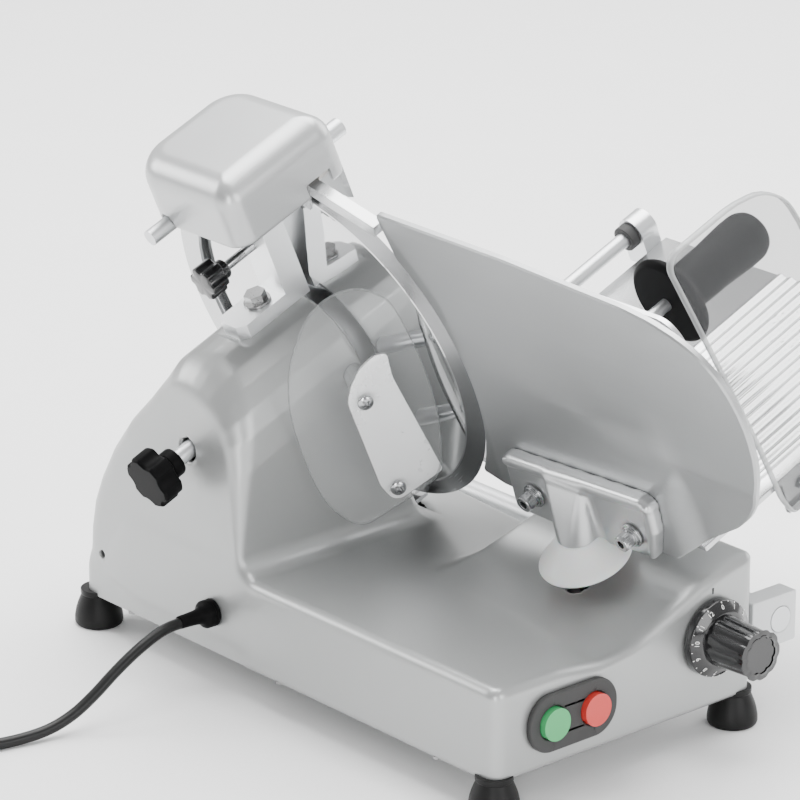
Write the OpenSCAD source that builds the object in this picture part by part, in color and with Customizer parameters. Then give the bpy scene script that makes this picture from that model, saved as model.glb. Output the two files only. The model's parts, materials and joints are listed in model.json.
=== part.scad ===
// Electric gravity-feed food slicer with a 250 mm round blade.
// The blade leans back, so its axis rises towards the food side (+Y). The carriage
// travels along X, slices fall on the -Y side, and the thickness dial is on the +X end.

/* [Blade] */
// Blade diameter
blade_d = 250; // [246:1:251]
// Lean of the blade axis from level, degrees
tilt = 23.1; // [22.8:0.1:23.4]
// Height of the blade centre over the table
blade_z = 197; // [196:0.5:199]

/* [Base] */
// Top of the low floor where slices land
floor_z = 79; // [77:0.5:80]
// Wall thickness of the cast base
wall = 5; // [4.5:0.1:5.2]
// Height of the rubber feet
foot_h = 24; // [23:0.5:25]
// Radius of the barrel that carries the blade
barrel_r = 48; // [47.5:0.1:48.5]

/* [Feed] */
// Largest slice thickness
slice_max = 12; // [10:0.5:12]
// Thickness of the gauge plate
gauge_t = 4.5; // [4:0.1:5]
// Thickness of the food tray
tray_t = 4; // [3.5:0.1:4.2]
// Diameter of the carriage slide rod
slide_d = 16; // [15.5:0.1:16]

/* [Cord] */
// Diameter of the mains lead
cord_d = 7; // [6.5:0.1:7]

/* [Hidden] */
$fn = 64;
R = blade_d / 2;
mid_x = 123;
mid_y = 46.2;
dial_sweep = 332;              // degrees of dial for the whole slice range
cam_k = 12 / dial_sweep;       // cam rise in mm per degree
dial_y = 52;
dial_z = 67;
dial_w = -(dial_y * cos(tilt) + (dial_z - blade_z) * sin(tilt));
dial_b = -dial_y * sin(tilt) + (dial_z - blade_z) * cos(tilt);
feet = [[-102, -112], [-102, 80], [269, -112], [269, 80]];
stone_x = 23;
// route of the mains lead, from the gland to the coil
cord_pts = [[23, -146, 48], [23, -158, 47], [23, -170, 43], [23, -183, 37], [23, -197, 29], [23, -211, 20], [22, -226, 11.5], [20, -242, 6], [17, -260, 4], [12, -280, 3.6], [6, -300, 3.6], [1, -318, 3.6]];
coil_c = [-40, -330];

// ---------- frames ----------
// everything is drawn with the blade centre over the drawing's zero, then moved to the middle of the footprint
module row() translate([-mid_x, -mid_y, 0]) children();
// blade frame: x along the carriage travel, y up in the blade plane, z along the axis towards the slice side
module bl() translate([0, 0, blade_z]) rotate([90 + tilt, 0, 0]) children();
// deflector frame: x along the plate towards the blade, y up, z towards the slice side
module dfl() bl() translate([101.7, 0, 0]) rotate([0, 60.4, 0]) children();
// a rod along X
module xrod(x0, x1, r) translate([x0, 0, 0]) rotate([0, 90, 0]) cylinder(r = r, h = x1 - x0);
module tube(r1, r0, h) difference() { cylinder(r = r1, h = h); translate([0, 0, -1]) cylinder(r = r0, h = h + 2); }

module rrect(x0, x1, y0, y1, r) {
  translate([x0 + r, y0]) square([x1 - x0 - 2 * r, y1 - y0]);
  translate([x0, y0 + r]) square([x1 - x0, y1 - y0 - 2 * r]);
  for (x = [x0 + r, x1 - r], y = [y0 + r, y1 - r]) translate([x, y]) circle(r);
}

// ---------- cast base ----------
module hump2d(t) {
  circle(barrel_r - t);
  polygon([[-45 + t, 16], [-62 + t, -1], [-78 + t, -22], [-93 + t, -54], [-100 + t, -93], [-104 + t, -118], [-105.5 + t, -250], [48 - t, -250], [48 - t, 0], [0, 20]]);
}
module block_yz(x0, x1, pts) translate([x0, 0, 0]) rotate([90, 0, 90]) linear_extrude(x1 - x0) polygon(pts);
function deck(y) = floor_z + (y + 9) * tan(tilt);

module base_outer() {
  translate([0, 0, foot_h]) linear_extrude(floor_z - foot_h) rrect(-111, 278, -120, 88, 9);
  block_yz(112, 278, [[-9, floor_z - 8], [-9, floor_z], [68, deck(68)], [88, deck(68)], [88, floor_z - 8]]);
  intersection() {
    bl() translate([0, 0, 20]) linear_extrude(150) hump2d(0);
    translate([-130, -120, floor_z - 8]) cube([260, 208, 240]);
  }
}
module base_inner() {
  translate([0, 0, foot_h - 1]) linear_extrude(65 - foot_h) rrect(-111 + wall, 278 - wall, -120 + wall, 88 - wall, 4);
  difference() {
    translate([0, 0, 60]) linear_extrude(floor_z - wall - 60) rrect(-111 + wall, 278 - wall, -120 + wall, 88 - wall, 4);
    translate([-86, 8, 50]) cube([172, 90, 40]);
  }
  block_yz(112 + wall, 278 - wall, [[-4, 60], [-4, deck(-4) - 5.5], [66, deck(66) - 5.5], [83, deck(66) - 5.5], [83, 60]]);
  intersection() {
    union() {
      bl() translate([0, 0, 20 + wall]) linear_extrude(150) hump2d(wall);
    }
    translate([-130, -120 + wall, 60]) cube([260, 200, 260]);
  }
  bl() translate([0, 0, 15]) cylinder(r = barrel_r - wall, h = 15);
}
module base_casting() color("silver") row() difference() {
  union() {
    difference() { base_outer(); base_inner(); }
    // corner bosses for the feet
    intersection() {
      for (p = feet) translate([p[0], p[1], foot_h]) cylinder(r = 13, h = 22);
      translate([0, 0, foot_h]) linear_extrude(22) rrect(-110, 277, -119, 87, 8);
    }
    // shelf for the drive plate inside the barrel
    intersection() {
      bl() translate([0, 0, 54]) tube(barrel_r - 2, 35, 6);
      bl() translate([-80, -20, 50]) cube([160, 90, 20]);
    }
    // lugs for the gauge guide rods, under the deck
    for (w = [-25, 54]) bl() translate([178, -136, w]) cube([54, 28, 8]);
    // lugs for the ring guard on the barrel's end wall
    bl() translate([-41, -112, 9.2]) cylinder(r = 6, h = 14);
    bl() translate([-84, -82, 9.2]) cylinder(r = 6, h = 14);
  }
  // flat seat for the sharpener bracket
  bl() translate([-40, 44.5, 10]) cube([80, 20, 64]);
  // clearance for the blade guard in the floor
  bl() translate([0, 0, -45]) cylinder(r = R + 9, h = 54.2);
  // lock knob rod, lead and dial openings
  bl() translate([0, 0, 100]) cylinder(r = 7, h = 60);
  translate([23, -110, 48.5]) rotate([90, 0, 0]) cylinder(r = 6.5, h = 20);
  translate([-88, -110, 52]) rotate([90, 0, 0]) cylinder(r = 2.5, h = 20);
  translate([0, dial_y, dial_z]) xrod(265, 290, 6.06);
  // slot for the gauge post
  bl() translate([192, -118, 8]) cube([26, 20, 37]);
  bl() for (x = [187, 223]) translate([x, -125, -27]) cylinder(r = 5.02, h = 92);
  // button openings
  for (y = [-78, -46]) translate([0, y, 50]) xrod(265, 290, 10.4);
  for (p = feet) translate([p[0], p[1], foot_h - 1]) cylinder(r = 4.05, h = 15);
  for (x = [-60, 83, 226], y = [-117.5, 85.5]) translate([x, y, foot_h - 1]) cylinder(r = 1.6, h = 12);
  // seat for the blade guard screws
  bl() translate([-41, -112, 8]) cylinder(r = 2.05, h = 12);
  bl() translate([-84, -82, 8]) cylinder(r = 2.05, h = 12);
  bl() for (t = [45, 90, 135]) rotate([0, 0, t]) translate([39.5, 0, 50]) cylinder(r = 2.55, h = 12);
}
module bottom_plate() color("gainsboro") row() difference() {
  translate([0, 0, foot_h - 1.5]) linear_extrude(1.4) rrect(-109, 276, -119, 87, 8);
  for (p = feet) translate([p[0], p[1], foot_h - 3]) cylinder(r = 15.3, h = 6);
  for (x = [-60, 83, 226], y = [-117.5, 85.5]) translate([x, y, foot_h - 3]) cylinder(r = 1.6, h = 12);
}
module bottom_plate_screws() color("dimgray") row() for (x = [-60, 83, 226], y = [-117.5, 85.5]) translate([x, y, 0]) {
  translate([0, 0, foot_h - 2.9]) cylinder(r = 1.4, h = 11);
  translate([0, 0, foot_h - 3.2]) cylinder(r = 2.6, h = 1.6);
}
module rubber_feet() color("#181818") row() for (p = feet) translate([p[0], p[1], 0]) {
  rotate_extrude() polygon([[0, 0], [14, 0], [15, 1.5], [14.6, 7], [13, 14], [11.5, 18], [11, 20], [12.5, 21], [12.5, foot_h - 0.05], [0, foot_h - 0.05]]);
  translate([0, 0, foot_h - 1]) cylinder(r = 4, h = 13);
}

// ---------- drive ----------
mot = [-36, -72];
module drive_plate() color("#b8bcc0") row() bl() difference() {
  translate([0, 0, 48]) linear_extrude(5.95) { circle(42); polygon([[-44, 4], [-64, -24], [-76, -52], [-80, -112], [38, -112], [38, 0]]); }
  translate([0, 0, 40]) cylinder(r = 10.02, h = 20);
  translate([mot[0], mot[1], 40]) cylinder(r = 14, h = 20);
  for (t = [45, 90, 135]) rotate([0, 0, t]) translate([39.5, 0, 40]) cylinder(r = 2.55, h = 20);
  for (t = [45 : 90 : 315]) translate([mot[0], mot[1], 40]) rotate([0, 0, t]) translate([26, 0, 0]) cylinder(r = 2.55, h = 20);
}
module drive_bolts() color("#8a8d90") row() bl() {
  for (t = [45, 90, 135]) rotate([0, 0, t]) translate([39.5, 0, 0]) { translate([0, 0, 45]) cylinder(r = 3, h = 3); translate([0, 0, 47]) cylinder(r = 2.5, h = 13); }
  for (t = [45 : 90 : 315]) translate([mot[0], mot[1], 0]) rotate([0, 0, t]) translate([26, 0, 0]) { translate([0, 0, 44]) cylinder(r = 4.5, h = 4); translate([0, 0, 47]) cylinder(r = 2.5, h = 15); }
}
module blade_axle() color("#c8ccd0") row() bl() difference() {
  union() {
    translate([0, 0, 15]) cylinder(r = 10, h = 57);
    translate([0, 0, 41]) cylinder(r = 17, h = 7);
    translate([0, 0, 54]) cylinder(r = 16, h = 8, $fn = 6);
  }
  translate([0, 0, 10]) cylinder(r = 6.6, h = 70);
}
module motor_body() color("#4a4e52") row() bl() translate([mot[0], mot[1], 0]) difference() {
  union() {
    translate([0, 0, 54]) cylinder(r = 33, h = 8);
    translate([0, 0, 62]) cylinder(r = 36, h = 50);
    translate([0, 0, 112]) cylinder(r = 30, h = 10);
    for (t = [0 : 30 : 330]) rotate([0, 0, t]) translate([35.5, -1, 64]) cube([2, 2, 46]);
  }
  translate([0, 0, 50]) cylinder(r = 6.06, h = 40);
  for (t = [45 : 90 : 315]) rotate([0, 0, t]) translate([26, 0, 50]) cylinder(r = 2.52, h = 13);
}
module drive_belt() color("#202020") row() bl() translate([0, 0, 28]) linear_extrude(10) difference() {
  hull() { circle(38.6, $fn = 96); translate(mot) circle(12.6, $fn = 48); }
  hull() { circle(36.4, $fn = 96); translate(mot) circle(10.4, $fn = 48); }
}
module motor_shaft() color("#c0c4c8") row() bl() translate([mot[0], mot[1], 28]) cylinder(r = 6, h = 60);
module motor_pulley() color("#9a9ea2") row() bl() translate([mot[0], mot[1], 0]) difference() {
  union() {
    translate([0, 0, 27.4]) cylinder(r = 10, h = 11.2);
    translate([0, 0, 26.2]) cylinder(r = 13.4, h = 1.3);
    translate([0, 0, 38.5]) cylinder(r = 13.4, h = 1.3);
  }
  translate([0, 0, 27.9]) cylinder(r = 6.02, h = 20);
}
module blade() color("#d6dade") row() bl() difference() {
  rotate_extrude($fn = 128) polygon([[15, 10], [56, 10], [100, 3.6], [117, 1.1], [R - 0.4, 0], [R, 0.25], [R - 12, 4.4], [R - 17, 5.6], [58, 13.9], [15, 13.9]]);
  for (t = [0 : 120 : 240]) rotate([0, 0, t]) translate([28, 0, 5]) cylinder(r = 3.05, h = 20);
}
module blade_screws() color("#9a9da0") row() bl() for (t = [0 : 120 : 240]) rotate([0, 0, t]) translate([28, 0, 0]) {
  translate([0, 0, 7.6]) cylinder(r = 5.5, h = 2.4);
  translate([0, 0, 9]) cylinder(r = 3, h = 15);
}
module blade_pulley() color("#a4a8ac") row() bl() difference() {
  union() {
    translate([0, 0, 13.95]) cylinder(r = 34, h = 12);
    translate([0, 0, 25.9]) cylinder(r = 36, h = 13.2);
    translate([0, 0, 26.4]) cylinder(r = 40.2, h = 1.2);
    translate([0, 0, 38.4]) cylinder(r = 40.2, h = 1.2);
  }
  translate([0, 0, 10]) cylinder(r = 15, h = 8);
  translate([0, 0, 16]) cylinder(r = 21.02, h = 30);
  for (t = [0 : 120 : 240]) rotate([0, 0, t]) translate([28, 0, 10]) cylinder(r = 3.05, h = 15);
}
module blade_bearings() color("#b4b8bc") row() bl() for (w = [16.1, 28.4]) translate([0, 0, w]) tube(21, 10.05, 12);

// ---------- blade guard, cover and lock ----------
module ring_guard() color("#e4e6e8") row() bl() difference() {
  union() {
    rotate([0, 0, 72]) rotate_extrude(angle = 209, $fn = 180) polygon([[R + 2, -3], [R + 4.5, -3], [R + 4.5, 9.2], [R - 12, 9.2], [R - 12, 7.2], [R + 2, 7.2]]);
    // straight end of the guard towards the gauge plate
    translate([37, 123.9, 0.9]) rotate([0, 0, -17]) translate([0, -3.5, 0]) cube([58, 8, 7.7]);
  }
  // notches for the two stones
  translate([-47, 100, 2.6]) cube([46, 60, 20]);
  translate([1, 100, -10]) cube([35.5, 60, 10.8]);
  translate([1, 100, -10]) cube([44, 60, 10.5]);
  // screw seats on the lugs
  translate([-41, -112, 0]) cylinder(r = 2.05, h = 12);
  translate([-84, -82, 0]) cylinder(r = 2.05, h = 12);
}
module blade_cover() color("#dcdfe2") row() bl() difference() {
  union() {
    rotate_extrude($fn = 128) polygon([[0, 0.9], [96, 0.9], [98, 1.7], [96, 2.6], [0, 2.6]]);
    translate([0, 0, 2]) cylinder(r = 12.5, h = 12.95);
  }
  translate([0, 0, 4]) cylinder(r = 5.46, h = 20);
}
module tie_rod() color("#d0d3d6") row() bl() translate([0, 0, 5]) cylinder(r = 5.4, h = 142);
module star(r, lobe, h, n) { cylinder(r = r - lobe * 0.75, h = h); for (i = [0 : n - 1]) rotate([0, 0, i * 360 / n]) translate([r - lobe, 0, 0]) cylinder(r = lobe, h = h); }
module lock_knob() color("#1a1a1a") row() bl() difference() {
  union() { translate([0, 0, 139]) cylinder(r1 = 8, r2 = 9, h = 13); translate([0, 0, 150]) star(17.4, 5.4, 14, 6); }
  translate([0, 0, 135]) cylinder(r = 5.42, h = 12.1);
}

// ---------- deflector ----------
module dfl_plate2d() polygon([[-63.5, 5], [-63, -60], [-58, -76], [-23, -66], [-32, 11], [-30, 28], [-38, 30], [-50, 24], [-58, 15]]);
module dfl_shield2d() polygon([[-95, 25], [-98, 10], [-99.5, -8], [-99.5, -36], [-97, -55], [-92, -68], [-86, -77], [-78, -81], [-62, -78], [-40, -72.5], [-27, -66], [-20, -50], [-14.5, -25], [-12.5, 5], [-13.5, 30], [-17, 58], [-23, 70], [-32, 78], [-44, 81], [-56, 79], [-68, 72], [-78, 60], [-88, 44]]);
module deflector_plate() color("#e8eaec") row() dfl() difference() {
  translate([0, 0, -2]) linear_extrude(1.8) dfl_plate2d();
  for (b = [2.5, -64]) translate([-53, b, -5]) cylinder(r = 2.55, h = 10);
}
module deflector_shield() color("#ddeeff", 0.4) row() dfl() difference() {
  linear_extrude(2.5) dfl_shield2d();
  for (b = [2.5, -64]) translate([-53, b, -1]) cylinder(r = 2.55, h = 10);
}
module deflector_posts() color("silver") row() difference() {
  dfl() for (b = [2.5, -64]) translate([-53, b, -37]) cylinder(r = 6, h = 34.9);
  bl() translate([0, 0, 10]) linear_extrude(120) hump2d(-0.1);
  dfl() for (b = [2.5, -64]) translate([-53, b, -14]) cylinder(r = 2.52, h = 20);
}
module deflector_screws() color("#b0b3b6") row() dfl() for (b = [2.5, -64]) translate([-53, b, 0]) {
  translate([0, 0, 2.55]) cylinder(r = 5, h = 2.6);
  translate([0, 0, -13.5]) cylinder(r = 2.5, h = 16.5);
}

// ---------- sharpener ----------
module sharpener_bracket() color("#eceef0") row() bl() difference() {
  union() {
    translate([0, 44.55, 0]) rotate([-90, 0, 0]) linear_extrude(9.5) polygon([[-12, -16], [12, -16], [12, -66], [7, -71], [-7, -71], [-12, -66]]);
    translate([-12, 50, 16]) cube([24, 48, 17]);
  }
  translate([0, 60, 24.5]) rotate([-90, 0, 0]) cylinder(r = 7.06, h = 50);
  translate([-4, 86, 20]) cylinder(r = 3.06, h = 20);
  translate([0, 40, 46]) rotate([-90, 0, 0]) cylinder(r = 4.05, h = 20);
}
module bracket_bolt() color("#a8abae") row() bl() translate([0, 0, 46]) rotate([-90, 0, 0]) {
  translate([0, 0, 44.6]) cylinder(r = 4, h = 12);
  translate([0, 0, 54.1]) cylinder(r = 8.5, h = 1.6);
  translate([0, 0, 55.6]) cylinder(r = 6.9, h = 5.5, $fn = 6);
}
module sharpener_cover() color("#dfe1e3") row() bl() difference() {
  // rounded roof over the stones
  union() {
    translate([0, 0, -21]) linear_extrude(91) rrect(-47, 47, 116, 165, 12);
    translate([-47, 98, -21]) cube([94, 32, 3]);
  }
  translate([0, 0, -18]) linear_extrude(85) rrect(-44, 44, 119, 162, 9);
  translate([-60, 90, -18.1]) cube([120, 32, 100]);
    // room for the blade guard that passes under the cover
  translate([-60, 90, -6]) cube([120, 41, 19]);
  translate([-stone_x, 123, 60]) cylinder(r = 6.3, h = 20);
  translate([stone_x, 134, -25]) cylinder(r = 6.06, h = 20);
}
module sharpener_body() color("#c4c8cc") row() bl() difference() {
  union() {
    translate([0, 64, 24.5]) rotate([-90, 0, 0]) cylinder(r = 7, h = 50);
    translate([-43.9, 140, 16]) cube([87.8, 12, 17]);
    translate([-33, 140, 16]) cube([66, 21.95, 17]);
    translate([-13, 103, 16]) cube([26, 40, 17]);
    translate([-stone_x - 9, 112, 24]) cube([18, 33, 12]);
    translate([stone_x - 9, 125, 14]) cube([18, 20, 12]);
  }
  translate([-stone_x, 123, 0]) cylinder(r = 5.06, h = 60);
  translate([stone_x, 134, 0]) cylinder(r = 5.06, h = 60);
}
module grinding_pin() color("#d4d7da") row() bl() translate([-stone_x, 123, 14.6]) cylinder(r = 5, h = 70.8);
module grinding_stone() color("#8a4a34") row() bl() translate([-stone_x, 123, 7.1]) cylinder(r = 12, h = 7.5);
module deburring_pin() color("#d4d7da") row() bl() translate([stone_x, 134, 0]) { translate([0, 0, -17]) cylinder(r = 5, h = 46); translate([0, 0, -38]) cylinder(r = 6, h = 23); }
module deburring_stone() color("#b9b4ac") row() bl() translate([stone_x, 134, -10]) difference() { cylinder(r = 18, h = 7.2); translate([0, 0, -1]) cylinder(r = 5.02, h = 12); }
module sharpener_knob() color("#151515") row() bl() translate([-4, 86, 0]) { translate([0, 0, 32]) cylinder(r = 3, h = 30); translate([0, 0, 56]) cylinder(r = 6.4, h = 7); translate([0, 0, 62]) star(11, 3.9, 13, 6); }

// ---------- thickness gauge ----------
module gauge2d() polygon([[93.5, 118.5], [202, 117.5], [300, 112.5], [322, 109], [340, 103], [355, 94.5], [366, 82], [373, 65], [375.5, 45], [374, 25], [368, 5], [357, -14], [345, -29], [331, -41.5], [301, -61], [273, -81.5], [262, -82], [126, -77], [108, -74.5], [106.4, -72], [113.6, -60], [120.5, -44.6], [125, -30], [127.6, -15], [128.5, 0], [127.6, 15], [125, 30], [120.5, 44.6], [113.6, 60], [102, 78], [96.3, 85], [95.6, 96.6]]);
module gauge_plate() color("#b4b7ba") row() bl() difference() {
  translate([0, 0, 0.6]) linear_extrude(gauge_t) gauge2d();
  for (x = [164, 248]) translate([x, -66, 2]) cylinder(r = 3.02, h = 20);
}
module gauge_bracket() color("#d2d5d8") row() bl() difference() {
  union() {
    translate([0, 0, 0.65 + gauge_t]) linear_extrude(7) polygon([[145, -43], [150, -40], [267, -33.2], [272.5, -38], [270, -58], [260.5, -80.5], [222, -81], [188, -81], [170, -83.9], [140, -85]]);
    translate([0, 0, 0.65 + gauge_t]) linear_extrude(9.3) polygon([[147, -41.6], [268, -34.4], [271, -39.5], [147, -46.5]]);
    translate([0, 0, 0.65 + gauge_t]) linear_extrude(17) polygon([[192, -41], [218, -40], [217, -80], [194, -80]]);
    translate([205, -132, 20]) rotate([-90, 0, 0]) cylinder(r = 10, h = 78);
  }
  for (x = [164, 248]) translate([x, -66, 2]) cylinder(r = 3.05, h = 20);
}
module gauge_bolts() color("#b8bbbe") row() bl() for (x = [164, 248]) translate([x, -66, 0]) {
  translate([0, 0, 2.3]) cylinder(r = 3, h = 12);
  translate([0, 0, 7.7 + gauge_t]) cylinder(r = 8, h = 1.6);
  difference() { translate([0, 0, 9.2 + gauge_t]) cylinder(r = 5.2, h = 9); translate([0, 0, 14.5 + gauge_t]) cylinder(r = 2.9, h = 9, $fn = 6); }
}
module gauge_skirt() color("#f2f2f0") row() bl() translate([205, -93.4, 20]) rotate([-90, 0, 0]) rotate_extrude() polygon([[28.4, 0], [28.4, 1.5], [23, 6], [18, 9.5], [16, 11.6], [10.1, 11.6], [10.1, 10], [15, 8], [21, 3.8], [25.5, 0]]);
module gauge_slider() color("#a0a4a8") row() bl() difference() {
  union() {
    translate([178, -135, 3]) cube([54, 21, 36]);
    translate([222, -147, 3]) cube([12, 14, 13]);
    translate([0, dial_b, dial_w + 7]) xrod(230, 240.4, 2.5);
  }
  for (x = [187, 223]) translate([x, -125, -20]) cylinder(r = 5.06, h = 80);
  translate([205, -140, 20]) rotate([-90, 0, 0]) cylinder(r = 10.02, h = 40);
}
module gauge_guide_rods() color("#d0d3d6") row() bl() for (x = [187, 223]) translate([x, -125, -25]) cylinder(r = 5, h = 87);

// ---------- dial with scroll cam ----------
cam_n = 60;
// point of the cam groove: radius grows as the dial turns, side = groove half width with its sign
function cam_p(a, side) = let (r = 7 + cam_k * a + side, t = 90 + tilt + 90 - a) [r * cos(t), r * sin(t)];
module cam_groove() polygon(concat([for (i = [0 : cam_n]) cam_p(-28 + i * (dial_sweep + 38) / cam_n, -2.9)], [for (i = [cam_n : -1 : 0]) cam_p(-28 + i * (dial_sweep + 38) / cam_n, 2.9)]));
module dial_shaft() color("#c4c7ca") row() translate([0, dial_y, dial_z]) {
  xrod(243, 296, 6);
  difference() { xrod(236, 246, 25); translate([235, 0, 0]) rotate([90, 0, 90]) linear_extrude(6) cam_groove(); }
}
module thickness_dial() color("#161616") row() translate([0, dial_y, dial_z]) difference() {
  union() {
    xrod(278.6, 284, 24);
    translate([284, 0, 0]) rotate([0, 90, 0]) cylinder(r1 = 24, r2 = 17.5, h = 4);
    translate([287, 0, 0]) rotate([0, 90, 0]) cylinder(r1 = 16.5, r2 = 14.5, h = 32);
  }
  xrod(270, 296.1, 6.02);
}

// ---------- buttons ----------
module switch_bezel() color("#1c1c1c") row() difference() {
  translate([278.05, 0, 0]) rotate([90, 0, 90]) linear_extrude(4) rrect(-96, -28, 32, 68, 17);
  for (y = [-78, -46]) translate([0, y, 50]) xrod(265, 290, 10.4);
}
module start_button() color("#2e8b4a") row() translate([0, -78, 50]) xrod(264, 285.5, 10);
module stop_button() color("#c0302c") row() translate([0, -46, 50]) xrod(264, 285.5, 10);

// ---------- carriage ----------
module food_tray() color("#e9ebed") row() bl() {
  difference() {
    union() {
      translate([38, -80 - tray_t, -230]) cube([244, tray_t, 220]);
      for (x = [142 : 9 : 268]) translate([x, -80.5, -226]) rotate([0, 0, 0]) linear_extrude(212) polygon([[-2.6, 0], [-1.2, 1.9], [1.2, 1.9], [2.6, 0]]);
      translate([278, -106, -226]) cube([4, 24, 150]);
      translate([38, -96, -226]) cube([4, 14, 212]);
    }
    for (w = [-92, -136]) translate([0, -95, w]) xrod(270, 290, 2.05);
  }
}
module hand_guard() color("#9aa0a4", 0.5) row() bl() difference() {
  translate([282.3, 0, 0]) rotate([0, 90, 0]) linear_extrude(5) polygon([[45, 97], [47.5, 104], [54, 107], [100, 106.8], [112, 105.2], [123.5, 100.4], [133, 93], [140.4, 83], [145, 72], [146.5, 60], [152, -104], [75, -104], [70, -90], [65.5, -44], [58, 8.4], [50, 63.4]]);
  for (w = [-92, -136]) translate([0, -95, w]) xrod(270, 290, 2.05);
}
module guard_screws() color("#a8abae") row() bl() for (w = [-92, -136]) translate([0, -95, w]) { xrod(277, 288, 2); xrod(287.35, 290, 4.2); }
module carriage_arm() color("#c2c5c8") row() difference() {
  union() {
    block_yz(136, 184, [[103, 72], [121, 72], [126, 112], [168, 176.4], [172, 178.6], [104, 149.6], [103, 112]]);
    block_yz(120, 200, [[99, 46], [125, 46], [125, 75], [99, 75]]);
  }
  translate([0, 112, 60]) xrod(110, 210, slide_d / 2 + 0.06);
}
module slide_rod() color("#d8dbde") row() translate([0, 112, 60]) xrod(-72, 276, slide_d / 2);
module rod_holders() color("#b4b8bc") row() for (x = [-72, 262]) difference() {
  block_yz(x, x + 14, [[88.05, 44], [125, 44], [125, 76], [88.05, 76]]);
  translate([0, 112, 60]) xrod(x - 5, x + 20, slide_d / 2 + 0.02);
}
rod_x = 28;
rod_b = -68;
module pusher_rod() color("#d8dbde") row() bl() translate([rod_x, rod_b, -224]) cylinder(r = 5, h = 210);
module rod_end_blocks() color("#b9bcbf") row() bl() for (w = [-226, -26]) translate([0, 0, w]) difference() {
  linear_extrude(14) { translate([rod_x, rod_b]) circle(10.5); translate([rod_x - 9.9, rod_b - 24]) square([19.85, 24]); }
  translate([rod_x, rod_b, 1.95]) cylinder(r = 5.02, h = 10.1);
  translate([rod_x, rod_b, w < -100 ? 5 : -5]) cylinder(r = 5.02, h = 14);
}
module rod_bushes() color("#1c1c1c") row() bl() { translate([rod_x, rod_b, -211.95]) tube(8.6, 5.02, 7); translate([rod_x, rod_b, -33]) tube(8.6, 5.02, 6.95); }

// ---------- pusher ----------
module pusher_bush() color("#2a2a2a") row() bl() translate([rod_x, rod_b, -104]) { tube(7.5, 5.06, 50); tube(13, 5.06, 3); translate([0, 0, 47]) tube(13, 5.06, 3); }
module pusher_arm() color("#c6c9cc") row() bl() difference() {
  union() {
    translate([rod_x, rod_b, -100.6]) cylinder(r = 13, h = 43.2);
    translate([rod_x, rod_b - 7, -92]) cube([60, 14, 26]);
    translate([84, -66, -84]) rotate([0, 0, 27]) translate([-8, -7, 0]) cube([130, 14, 14]);
    // shaft that carries the grip
    translate([187, 0, -119]) cylinder(r = 4, h = 61);
    translate([187, 0, -88]) cylinder(r = 10, h = 22);
  }
  translate([rod_x, rod_b, -110]) cylinder(r = 7.56, h = 60);
}
module pusher_plate() color("#dcdfe1") row() bl() difference() {
  union() {
    translate([0, 0, -57.9]) linear_extrude(3) rrect(120, 262, -70, 45, 18);
    for (x = [140 : 24 : 236], b = [-50, -25, 0, 25]) translate([x, b, -56]) cylinder(r1 = 2, r2 = 0.5, h = 7);
  }
  translate([195, 0, -70]) cylinder(r = 5, h = 11.5);
}
module pusher_handle() color("#1b1b1b") row() bl() difference() {
  union() {
    translate([187, 0, -107]) rotate([180, 0, 0]) rotate_extrude() polygon([[0, 0], [27.5, 0], [30, 2], [30, 5], [27.5, 8], [18, 11], [15, 15], [15, 36], [16.5, 60], [16.5, 73], [13, 80], [0, 82]]);
  }
  translate([187, 0, -119.1]) cylinder(r = 4.02, h = 20);
}

// ---------- mains lead ----------
module cable_gland() color("#151515") row() translate([23, -120.05, 48.5]) rotate([90, 0, 0]) difference() {
  union() { rotate_extrude() polygon([[0, 0], [8.7, 0], [8.7, 5.5], [7.6, 7], [6, 8], [4.9, 25.9], [0, 25.9]]); translate([0, 0, -9]) cylinder(r = 6.4, h = 9.5); }
  translate([0, 0, -12]) cylinder(r = 2.4, h = 20);
}
function unit(v) = v / norm(v);
function tan_at(i) = let (n = len(cord_pts)) i == 0 ? [0, -1, 0] : i == n - 1 ? unit(cord_pts[i] - cord_pts[i - 1]) : unit(cord_pts[i + 1] - cord_pts[i - 1]);
function ring_at(i) = let (t = tan_at(i), s = unit(cross(t, [0, 0, 1])), u = cross(s, t)) [for (k = [0 : 9]) cord_pts[i] + cord_d / 2 * (cos(36 * k) * s + sin(36 * k) * u)];
module power_cord() color("#121212") row() {
  n = len(cord_pts);
  polyhedron(points = [for (i = [0 : n - 1]) each ring_at(i)],
    faces = concat([[for (k = [0 : 9]) k]], [[for (k = [9 : -1 : 0]) (n - 1) * 10 + k]],
      [for (i = [0 : n - 2], k = [0 : 9]) [i * 10 + k, (i + 1) * 10 + k, (i + 1) * 10 + (k + 1) % 10, i * 10 + (k + 1) % 10]]));
}
module cord_coil() color("#141414") row() translate([coil_c[0], coil_c[1], 0]) rotate_extrude() polygon([[29, 0], [47.5, 0], [48.5, 1], [48.5, 13.5], [47.5, 14.5], [29, 14.5], [28, 13.5], [28, 1]]);
module mains_plug() color("#141414") row() translate([-66, -376, 0.4]) {
  difference() {
    translate([0, 0, 17]) rotate([0, -90, 0]) rotate_extrude() polygon([[0, -25], [4.6, -25], [7, 0], [13, 6], [17, 16], [17, 34], [15.5, 35], [0, 35]]);
    for (y = [-9.5, 9.5]) translate([-36, y, 17]) rotate([0, 90, 0]) cylinder(r = 2.42, h = 8);
  }
  for (y = [-9.5, 9.5]) translate([-54, y, 17]) rotate([0, 90, 0]) cylinder(r = 2.4, h = 26);
}

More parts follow.
